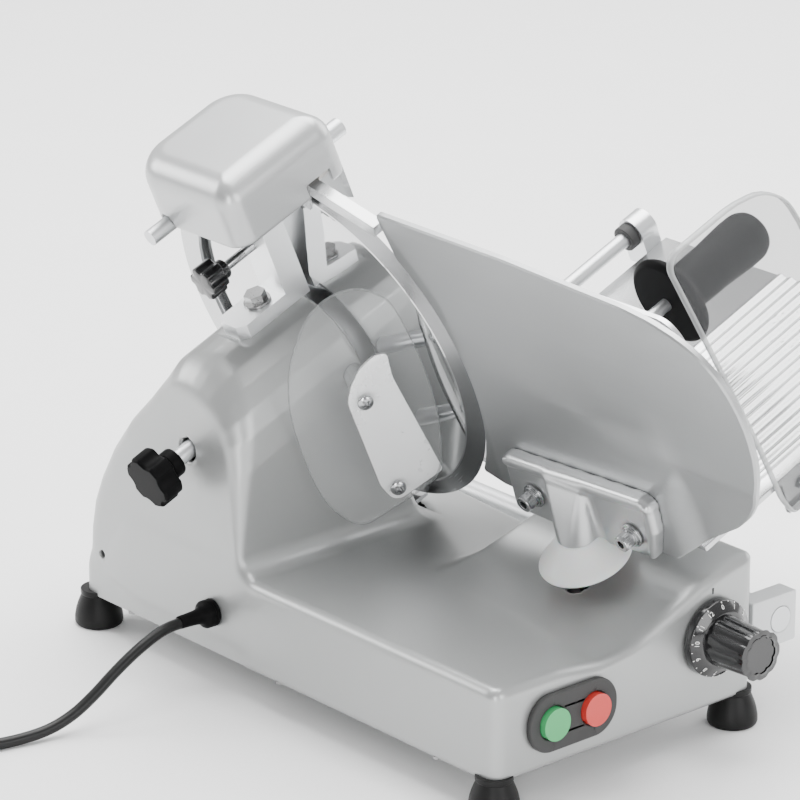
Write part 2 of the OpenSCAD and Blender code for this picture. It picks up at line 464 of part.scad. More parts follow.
base_casting();
bottom_plate();
bottom_plate_screws();
rubber_feet();
drive_plate();
drive_bolts();
blade_axle();
motor_body();
drive_belt();
ring_guard();
blade_cover();
deflector_plate();
deflector_shield();
deflector_posts();
deflector_screws();
sharpener_bracket();
bracket_bolt();
gauge_guide_rods();
slide_rod();
rod_holders();
cable_gland();
switch_bezel();
power_cord();
cord_coil();
mains_plug();
blade();
blade_pulley();
blade_bearings();
blade_screws();
motor_shaft();
motor_pulley();
lock_knob();
tie_rod();
gauge_plate();
gauge_bracket();
gauge_bolts();
gauge_skirt();
gauge_slider();
thickness_dial();
dial_shaft();
sharpener_cover();
sharpener_body();
sharpener_knob();
grinding_pin();
grinding_stone();
deburring_pin();
deburring_stone();
food_tray();
hand_guard();
guard_screws();
carriage_arm();
pusher_rod();
rod_end_blocks();
rod_bushes();
pusher_bush();
pusher_arm();
pusher_plate();
pusher_handle();
start_button();
stop_button();
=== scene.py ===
import json
import math

import bmesh
import bpy
import numpy as np
from mathutils import Matrix, Vector, geometry


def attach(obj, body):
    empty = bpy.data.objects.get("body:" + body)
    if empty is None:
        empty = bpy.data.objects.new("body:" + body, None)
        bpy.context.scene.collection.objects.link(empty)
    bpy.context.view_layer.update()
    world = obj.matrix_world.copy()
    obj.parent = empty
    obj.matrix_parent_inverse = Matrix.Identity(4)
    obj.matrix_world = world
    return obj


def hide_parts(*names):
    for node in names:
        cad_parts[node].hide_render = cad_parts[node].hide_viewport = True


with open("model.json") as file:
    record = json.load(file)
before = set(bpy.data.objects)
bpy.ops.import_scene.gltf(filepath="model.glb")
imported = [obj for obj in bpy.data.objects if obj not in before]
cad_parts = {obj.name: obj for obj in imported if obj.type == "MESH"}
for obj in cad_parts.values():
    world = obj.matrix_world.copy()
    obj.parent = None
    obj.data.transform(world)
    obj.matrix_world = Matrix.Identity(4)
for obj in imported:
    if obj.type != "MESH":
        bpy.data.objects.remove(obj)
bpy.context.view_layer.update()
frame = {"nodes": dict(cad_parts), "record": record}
NODE = frame["nodes"]

# ---------------------------------------------------------------- frames
# Drawing coordinates are millimetres with the blade centre over zero; row() gives metres in the part's frame.
TILT = math.radians(23.1)
CT, ST = math.cos(TILT), math.sin(TILT)
BZ = 197.0
MID = np.array([123.0, 46.2, 0.0])
DFL = math.radians(60.4)


def row(p):
    return (np.asarray(p, float) - MID) / 1000.0


def bl(p):
    """(x, b, w): along the travel, up in the blade plane, along the axis towards the slice side."""
    p = np.asarray(p, float)
    x, b, w = p[..., 0], p[..., 1], p[..., 2]
    return np.stack([x, -w * CT - b * ST, BZ - w * ST + b * CT], -1)


def to_bl(p):
    x, y, z = p[..., 0], p[..., 1], p[..., 2] - BZ
    return np.stack([x, -y * ST + z * CT, -(y * CT + z * ST)], -1)


def dfl(p):
    """(s, b, t): along the deflector towards the blade, up, towards the slice side."""
    p = np.asarray(p, float)
    s, b, t = p[..., 0], p[..., 1], p[..., 2]
    c, n = math.cos(DFL), math.sin(DFL)
    return bl(np.stack([101.7 + s * c + t * n, b, -s * n + t * c], -1))


def same(p):
    return np.asarray(p, float)


# ---------------------------------------------------------------- camera
az, el = math.radians(49.0), math.radians(20.1)
toward = Vector((math.sin(az) * math.cos(el), -math.cos(az) * math.cos(el), math.sin(el)))
cam_data = bpy.data.cameras.new("camera")
cam_data.lens = 206.1
cam_data.sensor_width = 36.0
cam_data.clip_start, cam_data.clip_end = 0.05, 50.0
cam = bpy.data.objects.new("camera", cam_data)
bpy.context.scene.collection.objects.link(cam)
cam.location = (1.9092, -1.7623, 1.1234)
cam.rotation_mode = "QUATERNION"
cam.rotation_quaternion = (-toward).to_track_quat("-Z", "Y")
bpy.context.scene.camera = cam


# ---------------------------------------------------------------- materials
def material(name, colour, metallic=0.0, rough=0.4, vary=0.04, grain=900.0, bump=0.05, rough_vary=0.08,
             stretch=None, blotch=14.0, fine=True, spin=None, **sockets):
    """A procedural finish: two near tones in soft blotches, roughness that wanders, and a fine bump.
    stretch draws the grain out along an axis as brushing does; spin lays the grain in rings about an axis."""
    m = bpy.data.materials.new(name)
    m.use_nodes = True
    t = m.node_tree
    bs = t.nodes["Principled BSDF"]
    bs.inputs["Metallic"].default_value = metallic
    for k, v in sockets.items():
        bs.inputs[k.replace("_", " ")].default_value = v
    co = t.nodes.new("ShaderNodeTexCoord")
    mp = t.nodes.new("ShaderNodeMapping")
    t.links.new(co.outputs["Object"], mp.inputs["Vector"])
    vec = mp.outputs["Vector"]
    if stretch is not None:
        mp.inputs["Rotation"].default_value = stretch[1] if len(stretch) > 1 else (0, 0, 0)
        mp.inputs["Scale"].default_value = stretch[0]
    if spin is not None:
        centre, rot = spin
        mp.vector_type = "TEXTURE"
        mp.inputs["Location"].default_value = centre
        mp.inputs["Rotation"].default_value = rot
        flat = t.nodes.new("ShaderNodeVectorMath"); flat.operation = "MULTIPLY"
        flat.inputs[1].default_value = (1, 1, 0)
        t.links.new(mp.outputs["Vector"], flat.inputs[0])
        ln = t.nodes.new("ShaderNodeVectorMath"); ln.operation = "LENGTH"
        t.links.new(flat.outputs["Vector"], ln.inputs[0])
        cb = t.nodes.new("ShaderNodeCombineXYZ")
        t.links.new(ln.outputs["Value"], cb.inputs["X"])
        weak = t.nodes.new("ShaderNodeVectorMath"); weak.operation = "MULTIPLY"
        weak.inputs[1].default_value = (0.02, 0.02, 0.02)
        t.links.new(flat.outputs["Vector"], weak.inputs[0])
        add = t.nodes.new("ShaderNodeVectorMath"); add.operation = "ADD"
        t.links.new(cb.outputs["Vector"], add.inputs[0])
        t.links.new(weak.outputs["Vector"], add.inputs[1])
        vec = add.outputs["Vector"]
    big = t.nodes.new("ShaderNodeTexNoise")
    big.inputs["Scale"].default_value = blotch
    big.inputs["Detail"].default_value = 4.0
    t.links.new(co.outputs["Object"], big.inputs["Vector"])
    small = t.nodes.new("ShaderNodeTexNoise")
    small.inputs["Scale"].default_value = grain
    small.inputs["Detail"].default_value = 3.0
    t.links.new(vec, small.inputs["Vector"])
    mixed = t.nodes.new("ShaderNodeMath"); mixed.operation = "MULTIPLY_ADD"
    mixed.inputs[1].default_value = 0.5
    t.links.new(small.outputs["Fac"], mixed.inputs[0])
    half = t.nodes.new("ShaderNodeMath"); half.operation = "MULTIPLY"
    half.inputs[1].default_value = 0.5
    t.links.new(big.outputs["Fac"], half.inputs[0])
    t.links.new(half.outputs["Value"], mixed.inputs[2])
    ramp = t.nodes.new("ShaderNodeValToRGB")
    c = np.array(colour[:3], float)
    ramp.color_ramp.elements[0].position = 0.3
    ramp.color_ramp.elements[1].position = 0.7
    ramp.color_ramp.elements[0].color = (*np.clip(c * (1 - vary), 0, 1), 1)
    ramp.color_ramp.elements[1].color = (*np.clip(c * (1 + vary), 0, 1), 1)
    t.links.new(mixed.outputs["Value"], ramp.inputs["Fac"])
    t.links.new(ramp.outputs["Color"], bs.inputs["Base Color"])
    mr = t.nodes.new("ShaderNodeMapRange")
    mr.inputs["From Min"].default_value = 0.25
    mr.inputs["From Max"].default_value = 0.75
    mr.inputs["To Min"].default_value = max(0.02, rough - rough_vary)
    mr.inputs["To Max"].default_value = min(1.0, rough + rough_vary)
    t.links.new(mixed.outputs["Value"], mr.inputs["Value"])
    t.links.new(mr.outputs["Result"], bs.inputs["Roughness"])
    if bump > 0:
        bp = t.nodes.new("ShaderNodeBump")
        bp.inputs["Strength"].default_value = bump
        bp.inputs["Distance"].default_value = 0.0004
        t.links.new(small.outputs["Fac"], bp.inputs["Height"])
        t.links.new(bp.outputs["Normal"], bs.inputs["Normal"])
    return m


BLADE_SPIN = (tuple(row(bl((0, 0, 0)))), (math.pi / 2 + TILT, 0, 0))
M = {}
M["cast_paint"] = material("cast_paint", (0.37, 0.378, 0.376), 0.62, 0.38, vary=0.035, grain=2600, bump=0.10, rough_vary=0.05,
                           Coat_Weight=0.12, Coat_Roughness=0.3)
M["cover_paint"] = material("cover_paint", (0.47, 0.478, 0.48), 0.60, 0.34, vary=0.03, grain=2600, bump=0.08, rough_vary=0.05,
                            Coat_Weight=0.15, Coat_Roughness=0.25)
M["satin_aluminium"] = material("satin_aluminium", (0.43, 0.438, 0.442), 0.9, 0.40, vary=0.03, grain=300, bump=0.05, rough_vary=0.05,
                                stretch=((0.06, 2.0, 2.0),), Anisotropic=0.35)
M["gauge_aluminium"] = material("gauge_aluminium", (0.43, 0.438, 0.442), 0.9, 0.40, vary=0.03, grain=300, bump=0.03, rough_vary=0.05,
                                stretch=((0.06, 2.0, 2.0),), Anisotropic=0.35)
# the point attribute read below scales the gauge sheet's base colour: a painted highlight on the fold and painted
# shade on the band next to the blade
gt = M["gauge_aluminium"].node_tree
gb = gt.nodes["Principled BSDF"]
src = gb.inputs["Base Color"].links[0].from_socket
ga = gt.nodes.new("ShaderNodeAttribute"); ga.attribute_name = "painted_light"
gk = gt.nodes.new("ShaderNodeMath"); gk.operation = "MULTIPLY_ADD"
gk.inputs[1].default_value = 0.55
gk.inputs[2].default_value = 1.0
gt.links.new(ga.outputs["Fac"], gk.inputs[0])
gs = gt.nodes.new("ShaderNodeVectorMath"); gs.operation = "SCALE"
gt.links.new(src, gs.inputs[0])
gt.links.new(gk.outputs["Value"], gs.inputs["Scale"])
gt.links.new(gs.outputs["Vector"], gb.inputs["Base Color"])
M["bracket_metal"] = material("bracket_metal", (0.52, 0.528, 0.532), 0.85, 0.30, vary=0.02, grain=240, bump=0.0, rough_vary=0.035)
M["bright_aluminium"] = material("bright_aluminium", (0.92, 0.926, 0.93), 0.30, 0.28, vary=0.012, grain=160, bump=0.0, rough_vary=0.03)
M["guard_metal"] = material("guard_metal", (0.58, 0.586, 0.59), 0.80, 0.20, vary=0.02, grain=300, bump=0.0, rough_vary=0.05)
M["tray_aluminium"] = material("tray_aluminium", (0.60, 0.606, 0.61), 0.95, 0.24, vary=0.025, grain=350, bump=0.05, rough_vary=0.06,
                               stretch=((2.0, 0.08, 2.0),))
M["blade_steel"] = material("blade_steel", (0.70, 0.706, 0.71), 1.0, 0.05, vary=0.03, grain=1400, bump=0.006, rough_vary=0.02,
                            spin=BLADE_SPIN, Anisotropic=0.15)
M["edge_steel"] = material("edge_steel", (0.36, 0.365, 0.37), 1.0, 0.24, vary=0.08, grain=2400, bump=0.10, rough_vary=0.06, spin=BLADE_SPIN)
M["steel"] = material("steel", (0.42, 0.425, 0.43), 1.0, 0.20, vary=0.04, grain=300, bump=0.0, rough_vary=0.06)
M["dark_steel"] = material("dark_steel", (0.30, 0.30, 0.30), 1.0, 0.30, vary=0.08, grain=700, bump=0.05, rough_vary=0.08)
M["black_plastic"] = material("black_plastic", (0.004, 0.004, 0.0042), 0.0, 0.46, vary=0.2, grain=1600, bump=0.02, rough_vary=0.06, Specular_IOR_Level=0.04)
M["gloss_black"] = material("gloss_black", (0.006, 0.006, 0.0065), 0.0, 0.16, vary=0.2, grain=900, bump=0.03, rough_vary=0.05,
                            Coat_Weight=0.4, Coat_Roughness=0.08)
M["white_plastic"] = material("white_plastic", (0.80, 0.805, 0.795), 0.0, 0.34, vary=0.015, grain=1200, bump=0.06, rough_vary=0.05,
                              Subsurface_Weight=0.35, Subsurface_Scale=0.006, Transmission_Weight=0.15)
M["rubber"] = material("rubber", (0.006, 0.006, 0.006), 0.0, 0.46, vary=0.25, grain=1300, bump=0.10, rough_vary=0.08, Specular_IOR_Level=0.2)
M["cord_rubber"] = material("cord_rubber", (0.006, 0.006, 0.006), 0.0, 0.38, vary=0.25, grain=1100, bump=0.10, rough_vary=0.07, Specular_IOR_Level=0.25)
M["clear"] = material("clear", (0.86, 0.88, 0.88), 0.0, 0.06, vary=0.02, grain=60, bump=0.0, rough_vary=0.02, Alpha=0.06, IOR=1.49)
M["clear_rim"] = material("clear_rim", (0.20, 0.21, 0.21), 0.0, 0.14, vary=0.03, grain=200, bump=0.0, rough_vary=0.04, Alpha=0.42, IOR=1.49)
M["smoke"] = material("smoke", (0.09, 0.093, 0.095), 0.0, 0.08, vary=0.04, grain=80, bump=0.0, rough_vary=0.03, Alpha=0.26, IOR=1.49, Specular_IOR_Level=0.25)
M["smoke_rim"] = material("smoke_rim", (0.40, 0.41, 0.41), 0.0, 0.18, vary=0.04, grain=300, bump=0.0, rough_vary=0.05, Alpha=0.85, IOR=1.49)
M["motor_paint"] = material("motor_paint", (0.07, 0.075, 0.08), 0.1, 0.45, vary=0.1, grain=1500, bump=0.15)
M["stone_red"] = material("stone_red", (0.30, 0.11, 0.06), 0.0, 0.85, vary=0.25, grain=2200, bump=0.8, blotch=300)
M["stone_grey"] = material("stone_grey", (0.42, 0.40, 0.37), 0.0, 0.85, vary=0.2, grain=2200, bump=0.8, blotch=300)
M["green_plastic"] = material("green_plastic", (0.02, 0.24, 0.07), 0.0, 0.32, vary=0.08, grain=1400, bump=0.08)
M["red_plastic"] = material("red_plastic", (0.45, 0.025, 0.02), 0.0, 0.32, vary=0.08, grain=1400, bump=0.08)
M["print_white"] = material("print_white", (0.82, 0.82, 0.80), 0.0, 0.5, vary=0.05, grain=1800, bump=0.05)
M["print_black"] = material("print_black", (0.02, 0.02, 0.02), 0.0, 0.5, vary=0.1, grain=1800, bump=0.05)

SLOT_OF = {}
for m_ in frame["record"].get("materials", []):
    for n_ in m_.get("nodes", []) or []:
        SLOT_OF[n_] = m_["slot"]


# ---------------------------------------------------------------- mesh helpers
def add_mesh(name, verts, faces, mat, body, slot=None, replaces=(), smooth=35.0):
    """verts in drawing millimetres."""
    me = bpy.data.meshes.new(name)
    v = row(verts)
    if isinstance(faces, np.ndarray) and faces.shape[1] == 4:
        nv, nf = len(v), len(faces)
        me.vertices.add(nv)
        me.vertices.foreach_set("co", v.astype(np.float32).ravel())
        me.loops.add(nf * 4)
        me.loops.foreach_set("vertex_index", faces.astype(np.int32).ravel())
        me.polygons.add(nf)
        me.polygons.foreach_set("loop_start", np.arange(0, nf * 4, 4, dtype=np.int32))
        me.update(calc_edges=True)
        me.validate()
    else:
        me.from_pydata([tuple(p) for p in v], [], [tuple(int(i) for i in f) for f in faces])
        me.update()
    ob = bpy.data.objects.new(name, me)
    bpy.context.scene.collection.objects.link(ob)
    if smooth:
        me.polygons.foreach_set("use_smooth", np.ones(len(me.polygons), bool))
        me.set_sharp_from_angle(angle=math.radians(smooth))
    mats = mat if isinstance(mat, (list, tuple)) else [mat]
    for k in mats:
        me.materials.append(M[k] if isinstance(k, str) else k)
    if body:
        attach(ob, body)
    for n in replaces:
        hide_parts(n)
    return ob


def lathe(prof, place, n=96, centre=(0, 0, 0), close=False):
    """prof is (radius, height) pairs; place maps local (x, y, z) to drawing mm. Ends on the axis are closed."""
    prof = np.asarray(prof, float)
    verts, rings = [], []
    ang = 2 * math.pi * np.arange(n) / n
    for r, h in prof:
        if r < 1e-6:
            rings.append([len(verts)])
            verts.append((0, 0, h))
        else:
            rings.append(list(range(len(verts), len(verts) + n)))
            verts += [(r * math.cos(a), r * math.sin(a), h) for a in ang]
    faces = []
    pairs = list(zip(rings[:-1], rings[1:]))
    if close:
        pairs.append((rings[-1], rings[0]))
    for a, b in pairs:
        for i in range(n):
            j = (i + 1) % n
            if len(a) == 1 and len(b) == 1:
                continue
            if len(a) == 1:
                faces.append((a[0], b[j], b[i]))
            elif len(b) == 1:
                faces.append((a[i], a[j], b[0]))
            else:
                faces.append((a[i], a[j], b[j], b[i]))
    v = np.array(verts) + np.asarray(centre, float)
    return place(v), faces


def fillet(poly, radii, steps=5, closed=False):
    """Rounds the corners of a polyline by the given radii."""
    poly = [np.asarray(p, float) for p in poly]
    n = len(poly)
    if np.isscalar(radii):
        radii = [radii] * n
    out = []
    for i, p in enumerate(poly):
        if not closed and i in (0, n - 1):
            out.append(p)
            continue
        a, b = poly[i - 1], poly[(i + 1) % n]
        u, v = a - p, b - p
        lu, lv = np.linalg.norm(u), np.linalg.norm(v)
        u, v = u / lu, v / lv
        cosang = float(np.clip(u @ v, -1, 1))
        ang = math.acos(cosang)
        r = radii[i]
        if r <= 0 or ang > math.pi - 0.02:
            out.append(p)
            continue
        d = min(r / math.tan(ang / 2), 0.48 * lu, 0.48 * lv)
        rr = d * math.tan(ang / 2)
        bis = (u + v) / np.linalg.norm(u + v)
        c = p + bis * (rr / math.sin(ang / 2))
        s, e = p + u * d, p + v * d
        a0 = math.atan2(*(s - c)[::-1])
        a1 = math.atan2(*(e - c)[::-1])
        da = (a1 - a0 + math.pi) % (2 * math.pi) - math.pi
        k = max(2, int(math.ceil(abs(da) / math.radians(90) * steps)) + 1)
        for q in np.linspace(0, 1, k):
            out.append(c + rr * np.array([math.cos(a0 + da * q), math.sin(a0 + da * q)]))
    return np.array(out)


def smooth_loop(pts, per=6):
    """A closed curve through the points."""
    p = np.asarray(pts, float)
    n = len(p)
    out = []
    for i in range(n):
        a, b, c, d = p[i - 1], p[i], p[(i + 1) % n], p[(i + 2) % n]
        for t in np.arange(per) / per:
            out.append(0.5 * ((2 * b) + (-a + c) * t + (2 * a - 5 * b + 4 * c - d) * t ** 2 + (-a + 3 * b - 3 * c + d) * t ** 3))
    return np.array(out)


def inset(poly, d):
    """Moves a closed counter-clockwise outline inwards by d."""
    p = np.asarray(poly, float)
    e = np.roll(p, -1, 0) - p
    e /= np.maximum(np.linalg.norm(e, axis=1, keepdims=True), 1e-9)
    nrm = np.stack([-e[:, 1], e[:, 0]], 1)
    prev = np.roll(nrm, 1, 0)
    m = nrm + prev
    m /= np.maximum((1 + (nrm * prev).sum(1, keepdims=True)), 0.35)
    return p + d * m


def ccw(poly):
    p = np.asarray(poly, float)
    a = 0.5 * np.sum(p[:, 0] * np.roll(p[:, 1], -1) - np.roll(p[:, 0], -1) * p[:, 1])
    return p if a > 0 else p[::-1]


def slab(poly, layers, place):
    """A closed solid from one outline: layers are (height, inset), bottom first. Caps are filled."""
    p = ccw(poly)
    n = len(p)
    verts, faces = [], []
    for h, d in layers:
        q = inset(p, d) if d else p
        verts += [(x, y, h) for x, y in q]
    for k in range(len(layers) - 1):
        for i in range(n):
            j = (i + 1) % n
            faces.append((k * n + i, k * n + j, (k + 1) * n + j, (k + 1) * n + i))
    for k, flip in ((0, True), (len(layers) - 1, False)):
        loop = [Vector((*verts[k * n + i][:2], 0)) for i in range(n)]
        for t in geometry.tessellate_polygon([loop]):
            a, b, c = (Vector(loop[i]) for i in t)
            up = (b - a).cross(c - a).z > 0
            t = tuple(k * n + i for i in (t if up != flip else t[::-1]))
            faces.append(t)
    return place(np.array(verts)), faces


def rim_faces(ob, verts, layers):
    """Gives the side faces of a slab the second material."""
    n = len(verts) // layers * (layers - 1)
    idx = np.zeros(len(ob.data.polygons), np.int32)
    idx[:n] = 1
    ob.data.polygons.foreach_set("material_index", idx)


def round_edge(h0, h1, r, steps=4):
    """Layers of a slab with rounded rims."""
    out = []
    for i in range(steps + 1):
        a = math.pi / 2 * i / steps
        out.append((h0 + r * (1 - math.sin(a)), r * (1 - math.cos(a))))
    lo = out[::-1]
    lo = [(h0 + r * (1 - math.cos(math.pi / 2 * i / steps)), r * (1 - math.sin(math.pi / 2 * i / steps))) for i in range(steps + 1)]
    hi = [(h1 - h + h0, d) for h, d in lo[::-1]]
    return lo + hi


def merge(parts):
    verts, faces, base = [], [], 0
    for v, f in parts:
        verts.append(np.asarray(v, float))
        faces += [tuple(int(i) + base for i in q) for q in f]
        base += len(v)
    return np.concatenate(verts), faces


def soften(node, width, seg=2, angle=32.0):
    """Breaks the edges of a carried-over node, as machining or casting does."""
    o = NODE[node]
    w = o.modifiers.new("weld", "WELD"); w.merge_threshold = 2e-6
    b = o.modifiers.new("edge", "BEVEL")
    b.width = width / 1000.0
    b.segments = seg
    b.limit_method = "ANGLE"
    b.angle_limit = math.radians(angle)
    b.harden_normals = False
    b.use_clamp_overlap = True
    o.data.polygons.foreach_set("use_smooth", np.ones(len(o.data.polygons), bool))
    n = o.modifiers.new("normals", "WEIGHTED_NORMAL")
    n.keep_sharp = False
    n.weight = 80


# rounded set operations on distances, radius r
def r_and(a, b, r):
    return np.minimum(-r, np.maximum(a, b)) + np.hypot(np.maximum(a + r, 0), np.maximum(b + r, 0))


def r_or(a, b, r):
    return np.maximum(r, np.minimum(a, b)) - np.hypot(np.maximum(r - a, 0), np.maximum(r - b, 0))


def r_cut(a, b, r):
    return r_and(a, -b, r)


def box2(x, y, x0, x1, y0, y1, r):
    cx, cy = (x0 + x1) / 2, (y0 + y1) / 2
    qx = np.abs(x - cx) - (x1 - x0) / 2 + r
    qy = np.abs(y - cy) - (y1 - y0) / 2 + r
    return np.hypot(np.maximum(qx, 0), np.maximum(qy, 0)) + np.minimum(np.maximum(qx, qy), 0) - r


def poly_table(poly, x0, x1, y0, y1, h):
    """Signed distance to a closed outline, tabulated; returns a lookup."""
    p = np.asarray(poly, float)
    q = np.roll(p, -1, 0)
    xs, ys = np.arange(x0, x1 + h, h), np.arange(y0, y1 + h, h)
    X, Y = np.meshgrid(xs, ys, indexing="ij")
    best = np.full(X.shape, 1e9)
    inside = np.zeros(X.shape, bool)
    for (ax, ay), (bx, by) in zip(p, q):
        ex, ey = bx - ax, by - ay
        ll = ex * ex + ey * ey
        if ll < 1e-12:
            continue
        t = np.clip(((X - ax) * ex + (Y - ay) * ey) / ll, 0, 1)
        best = np.minimum(best, (X - ax - t * ex) ** 2 + (Y - ay - t * ey) ** 2)
        if ay != by:
            c = (ay > Y) != (by > Y)
            inside ^= c & (X < ex * (Y - ay) / ey + ax)
    D = np.sqrt(best)
    D[inside] *= -1

    def look(x, y):
        fx = np.clip((x - x0) / h, 0, len(xs) - 1.001)
        fy = np.clip((y - y0) / h, 0, len(ys) - 1.001)
        i, j = fx.astype(int), fy.astype(int)
        u, v = fx - i, fy - j
        return ((D[i, j] * (1 - u) + D[i + 1, j] * u) * (1 - v) + (D[i, j + 1] * (1 - u) + D[i + 1, j + 1] * u) * v)
    return look


def nets(f, lo, hi, h, pulls=3):
    """Polygonises f = 0 on a grid with spacing h, and pulls the points on to the surface."""
    lo, hi = np.asarray(lo, float), np.asarray(hi, float)
    n = np.ceil((hi - lo) / h).astype(int) + 1
    ax = [lo[i] + h * np.arange(n[i]) for i in range(3)]
    G = np.empty(n)
    step = max(1, int(400000 / (n[1] * n[2])))
    for i in range(0, n[0], step):
        X, Y, Z = np.meshgrid(ax[0][i:i + step], ax[1], ax[2], indexing="ij")
        G[i:i + step] = f(np.stack([X.ravel(), Y.ravel(), Z.ravel()], 1)).reshape(X.shape)
    S = G < 0
    c = n - 1
    corner = [(dx, dy, dz) for dx in (0, 1) for dy in (0, 1) for dz in (0, 1)]
    cut = lambda A, o: A[o[0]:o[0] + c[0], o[1]:o[1] + c[1], o[2]:o[2] + c[2]]
    cnt = sum(cut(S, o).astype(np.int8) for o in corner)
    mixed = (cnt > 0) & (cnt < 8)
    vid = np.full(c, -1, np.int64)
    nv = int(mixed.sum())
    vid[mixed] = np.arange(nv)
    pos, num = np.zeros((nv, 3)), np.zeros(nv)
    for a in corner:
        for k in range(3):
            if a[k]:
                continue
            b = list(a); b[k] = 1
            ga, gb = cut(G, a)[mixed], cut(G, b)[mixed]
            x = (ga < 0) != (gb < 0)
            t = np.where(x, ga / np.where(x, ga - gb, 1), 0)
            p = np.tile(np.array(a, float), (nv, 1)); p[:, k] += t
            pos[x] += p[x]; num[x] += 1
    cell = np.argwhere(mixed)
    V = lo + h * (cell + pos / num[:, None])
    quads = []
    for k in range(3):
        u, v = (k + 1) % 3, (k + 2) % 3
        s0 = [slice(None)] * 3; s1 = [slice(None)] * 3
        s0[k], s1[k] = slice(0, n[k] - 1), slice(1, n[k])
        s0[u] = s1[u] = slice(1, n[u] - 1)
        s0[v] = s1[v] = slice(1, n[v] - 1)
        A, B = S[tuple(s0)], S[tuple(s1)]
        for inside, flip in ((A & ~B, False), (~A & B, True)):
            e = np.argwhere(inside)
            if not len(e):
                continue
            e[:, u] += 1; e[:, v] += 1
            def at(du, dv):
                q = e.copy(); q[:, u] -= du; q[:, v] -= dv
                return vid[q[:, 0], q[:, 1], q[:, 2]]
            q = np.stack([at(1, 1), at(0, 1), at(0, 0), at(1, 0)], 1)
            quads.append(q[:, ::-1] if flip else q)
    Q = np.concatenate(quads)
    E = np.concatenate([Q[:, [k, (k + 1) % 4]] for k in range(4)])
    deg = np.maximum(np.bincount(E[:, 0], minlength=nv) + np.bincount(E[:, 1], minlength=nv), 1)

    def pull(V, e):
        d = f(V)
        g = np.stack([f(V + np.eye(3)[k] * e) - f(V - np.eye(3)[k] * e) for k in range(3)], 1) / (2 * e)
        gg = np.maximum((g * g).sum(1), 0.05)
        s = -(d / gg)[:, None] * g
        L = np.linalg.norm(s, axis=1, keepdims=True)
        return V + s * np.minimum(1, 0.4 * h / np.maximum(L, 1e-9))

    for _ in range(pulls):
        mean = np.stack([np.bincount(E[:, 0], V[E[:, 1], k], nv) + np.bincount(E[:, 1], V[E[:, 0], k], nv) for k in range(3)], 1) / deg[:, None]
        V = pull(V + 0.5 * (mean - V), 0.25 * h)
    V = pull(V, 0.25 * h)
    return V, Q


# ---------------------------------------------------------------- mains lead
CORD_R = 3.5
lead = [(23, -146, 48), (23, -158, 47), (23, -170, 43), (23, -183, 37), (23, -197, 29), (23, -211, 20), (22, -226, 11.5),
        (20, -242, 6), (17, -260, 4), (12, -280, 3.6), (6, -300, 3.6), (1, -318, 3.6)]
CX, CY = -40.0, -330.0
pts = [np.array(p, float) for p in lead]


def ease(t):
    t = min(1.0, max(0.0, t))
    return t * t * (3 - 2 * t)


# turns run clockwise seen from above; each track steps inwards in the same sector, then the upper layer steps outwards
T0 = 17.0
tracks = [(44.9, 3.6), (37.8, 3.6), (30.7, 3.6), (30.7, 10.75), (37.8, 10.75), (44.9, 10.75)]
JOG = 70.0
TURN_END = 5 * 360.0 + 107.0
th = 14.0
while th <= TURN_END:
    k = int(th // 360.0)
    into = th - 360.0 * k
    r, z = tracks[k]
    if k + 1 < len(tracks) and into > 360.0 - JOG:
        q = ease((into - (360.0 - JOG)) / JOG)
        r2, z2 = tracks[k + 1]
        r, z = r + (r2 - r) * q, z + (z2 - z) * q
    if k == 0 and into < 60:
        r = 42.9 + (44.9 - 42.9) * ease(into / 60)
    if th > TURN_END - 105:
        q = ease((th - (TURN_END - 105)) / 105)
        r, z = r + (46.0 - r) * q, z + (17.2 - z) * q
    a = math.radians(T0 - th)
    pts.append(np.array([CX + r * math.cos(a), CY + r * math.sin(a), z]))
    th += 15.0
pts.append(np.array([CX - 2.0, CY - 46.0, 17.4]))
pts.append(np.array([CX - 12.0, CY - 46.0, 17.4]))
cu = bpy.data.curves.new("mains_lead", "CURVE")
cu.dimensions = "3D"
cu.bevel_depth = CORD_R / 1000.0
cu.bevel_resolution = 6
cu.resolution_u = 6
cu.use_fill_caps = True
sp = cu.splines.new("BEZIER")
sp.bezier_points.add(len(pts) - 1)
P_ = row(np.array(pts))
tang = np.gradient(P_, axis=0)
tang[0] = (0, -1, 0)
tang[-1] = (-1, 0, 0)
tang /= np.linalg.norm(tang, axis=1, keepdims=True)
seg = np.linalg.norm(np.diff(P_, axis=0), axis=1)
for i, bp in enumerate(sp.bezier_points):
    bp.handle_left_type = bp.handle_right_type = "FREE"
    bp.co = P_[i]
    bp.handle_left = P_[i] - tang[i] * (seg[i - 1] if i else seg[0]) / 3
    bp.handle_right = P_[i] + tang[i] * (seg[i] if i < len(seg) else seg[-1]) / 3
cord = bpy.data.objects.new("mains_lead", cu)
bpy.context.scene.collection.objects.link(cord)
cu.materials.append(M["cord_rubber"])
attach(cord, "frame")
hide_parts("power_cord", "cord_coil")

# a strap round the coil
ring = []
for i in range(28):
    a = 2 * math.pi * i / 28
    c_, s_ = math.cos(a), math.sin(a)
    k = (abs(c_) ** 4 + abs(s_) ** 4) ** -0.25
    ring.append((37.9 + 11.4 * k * c_, 7.4 + 7.3 * k * s_))
ta = math.radians(200.0)
band = []
for r_off, w_off in ((0, -4), (0.7, -4.2), (0.7, 4.2), (0, 4)):
    for r, z in ring:
        dr, dz = r - 37.9, z - 7.4
        L = math.hypot(dr, dz)
        rr, zz = r + dr / L * r_off, max(0.05, z + dz / L * r_off)
        band.append((CX + rr * math.cos(ta) - w_off * math.sin(ta), CY + rr * math.sin(ta) + w_off * math.cos(ta), zz))
bf = []
for k in range(4):
    for i in range(28):
        j = (i + 1) % 28
        k2 = (k + 1) % 4
        bf.append((k * 28 + i, k * 28 + j, k2 * 28 + j, k2 * 28 + i))
tie = add_mesh("lead_tie", np.array(band), bf, "black_plastic", "frame", "black_plastic")

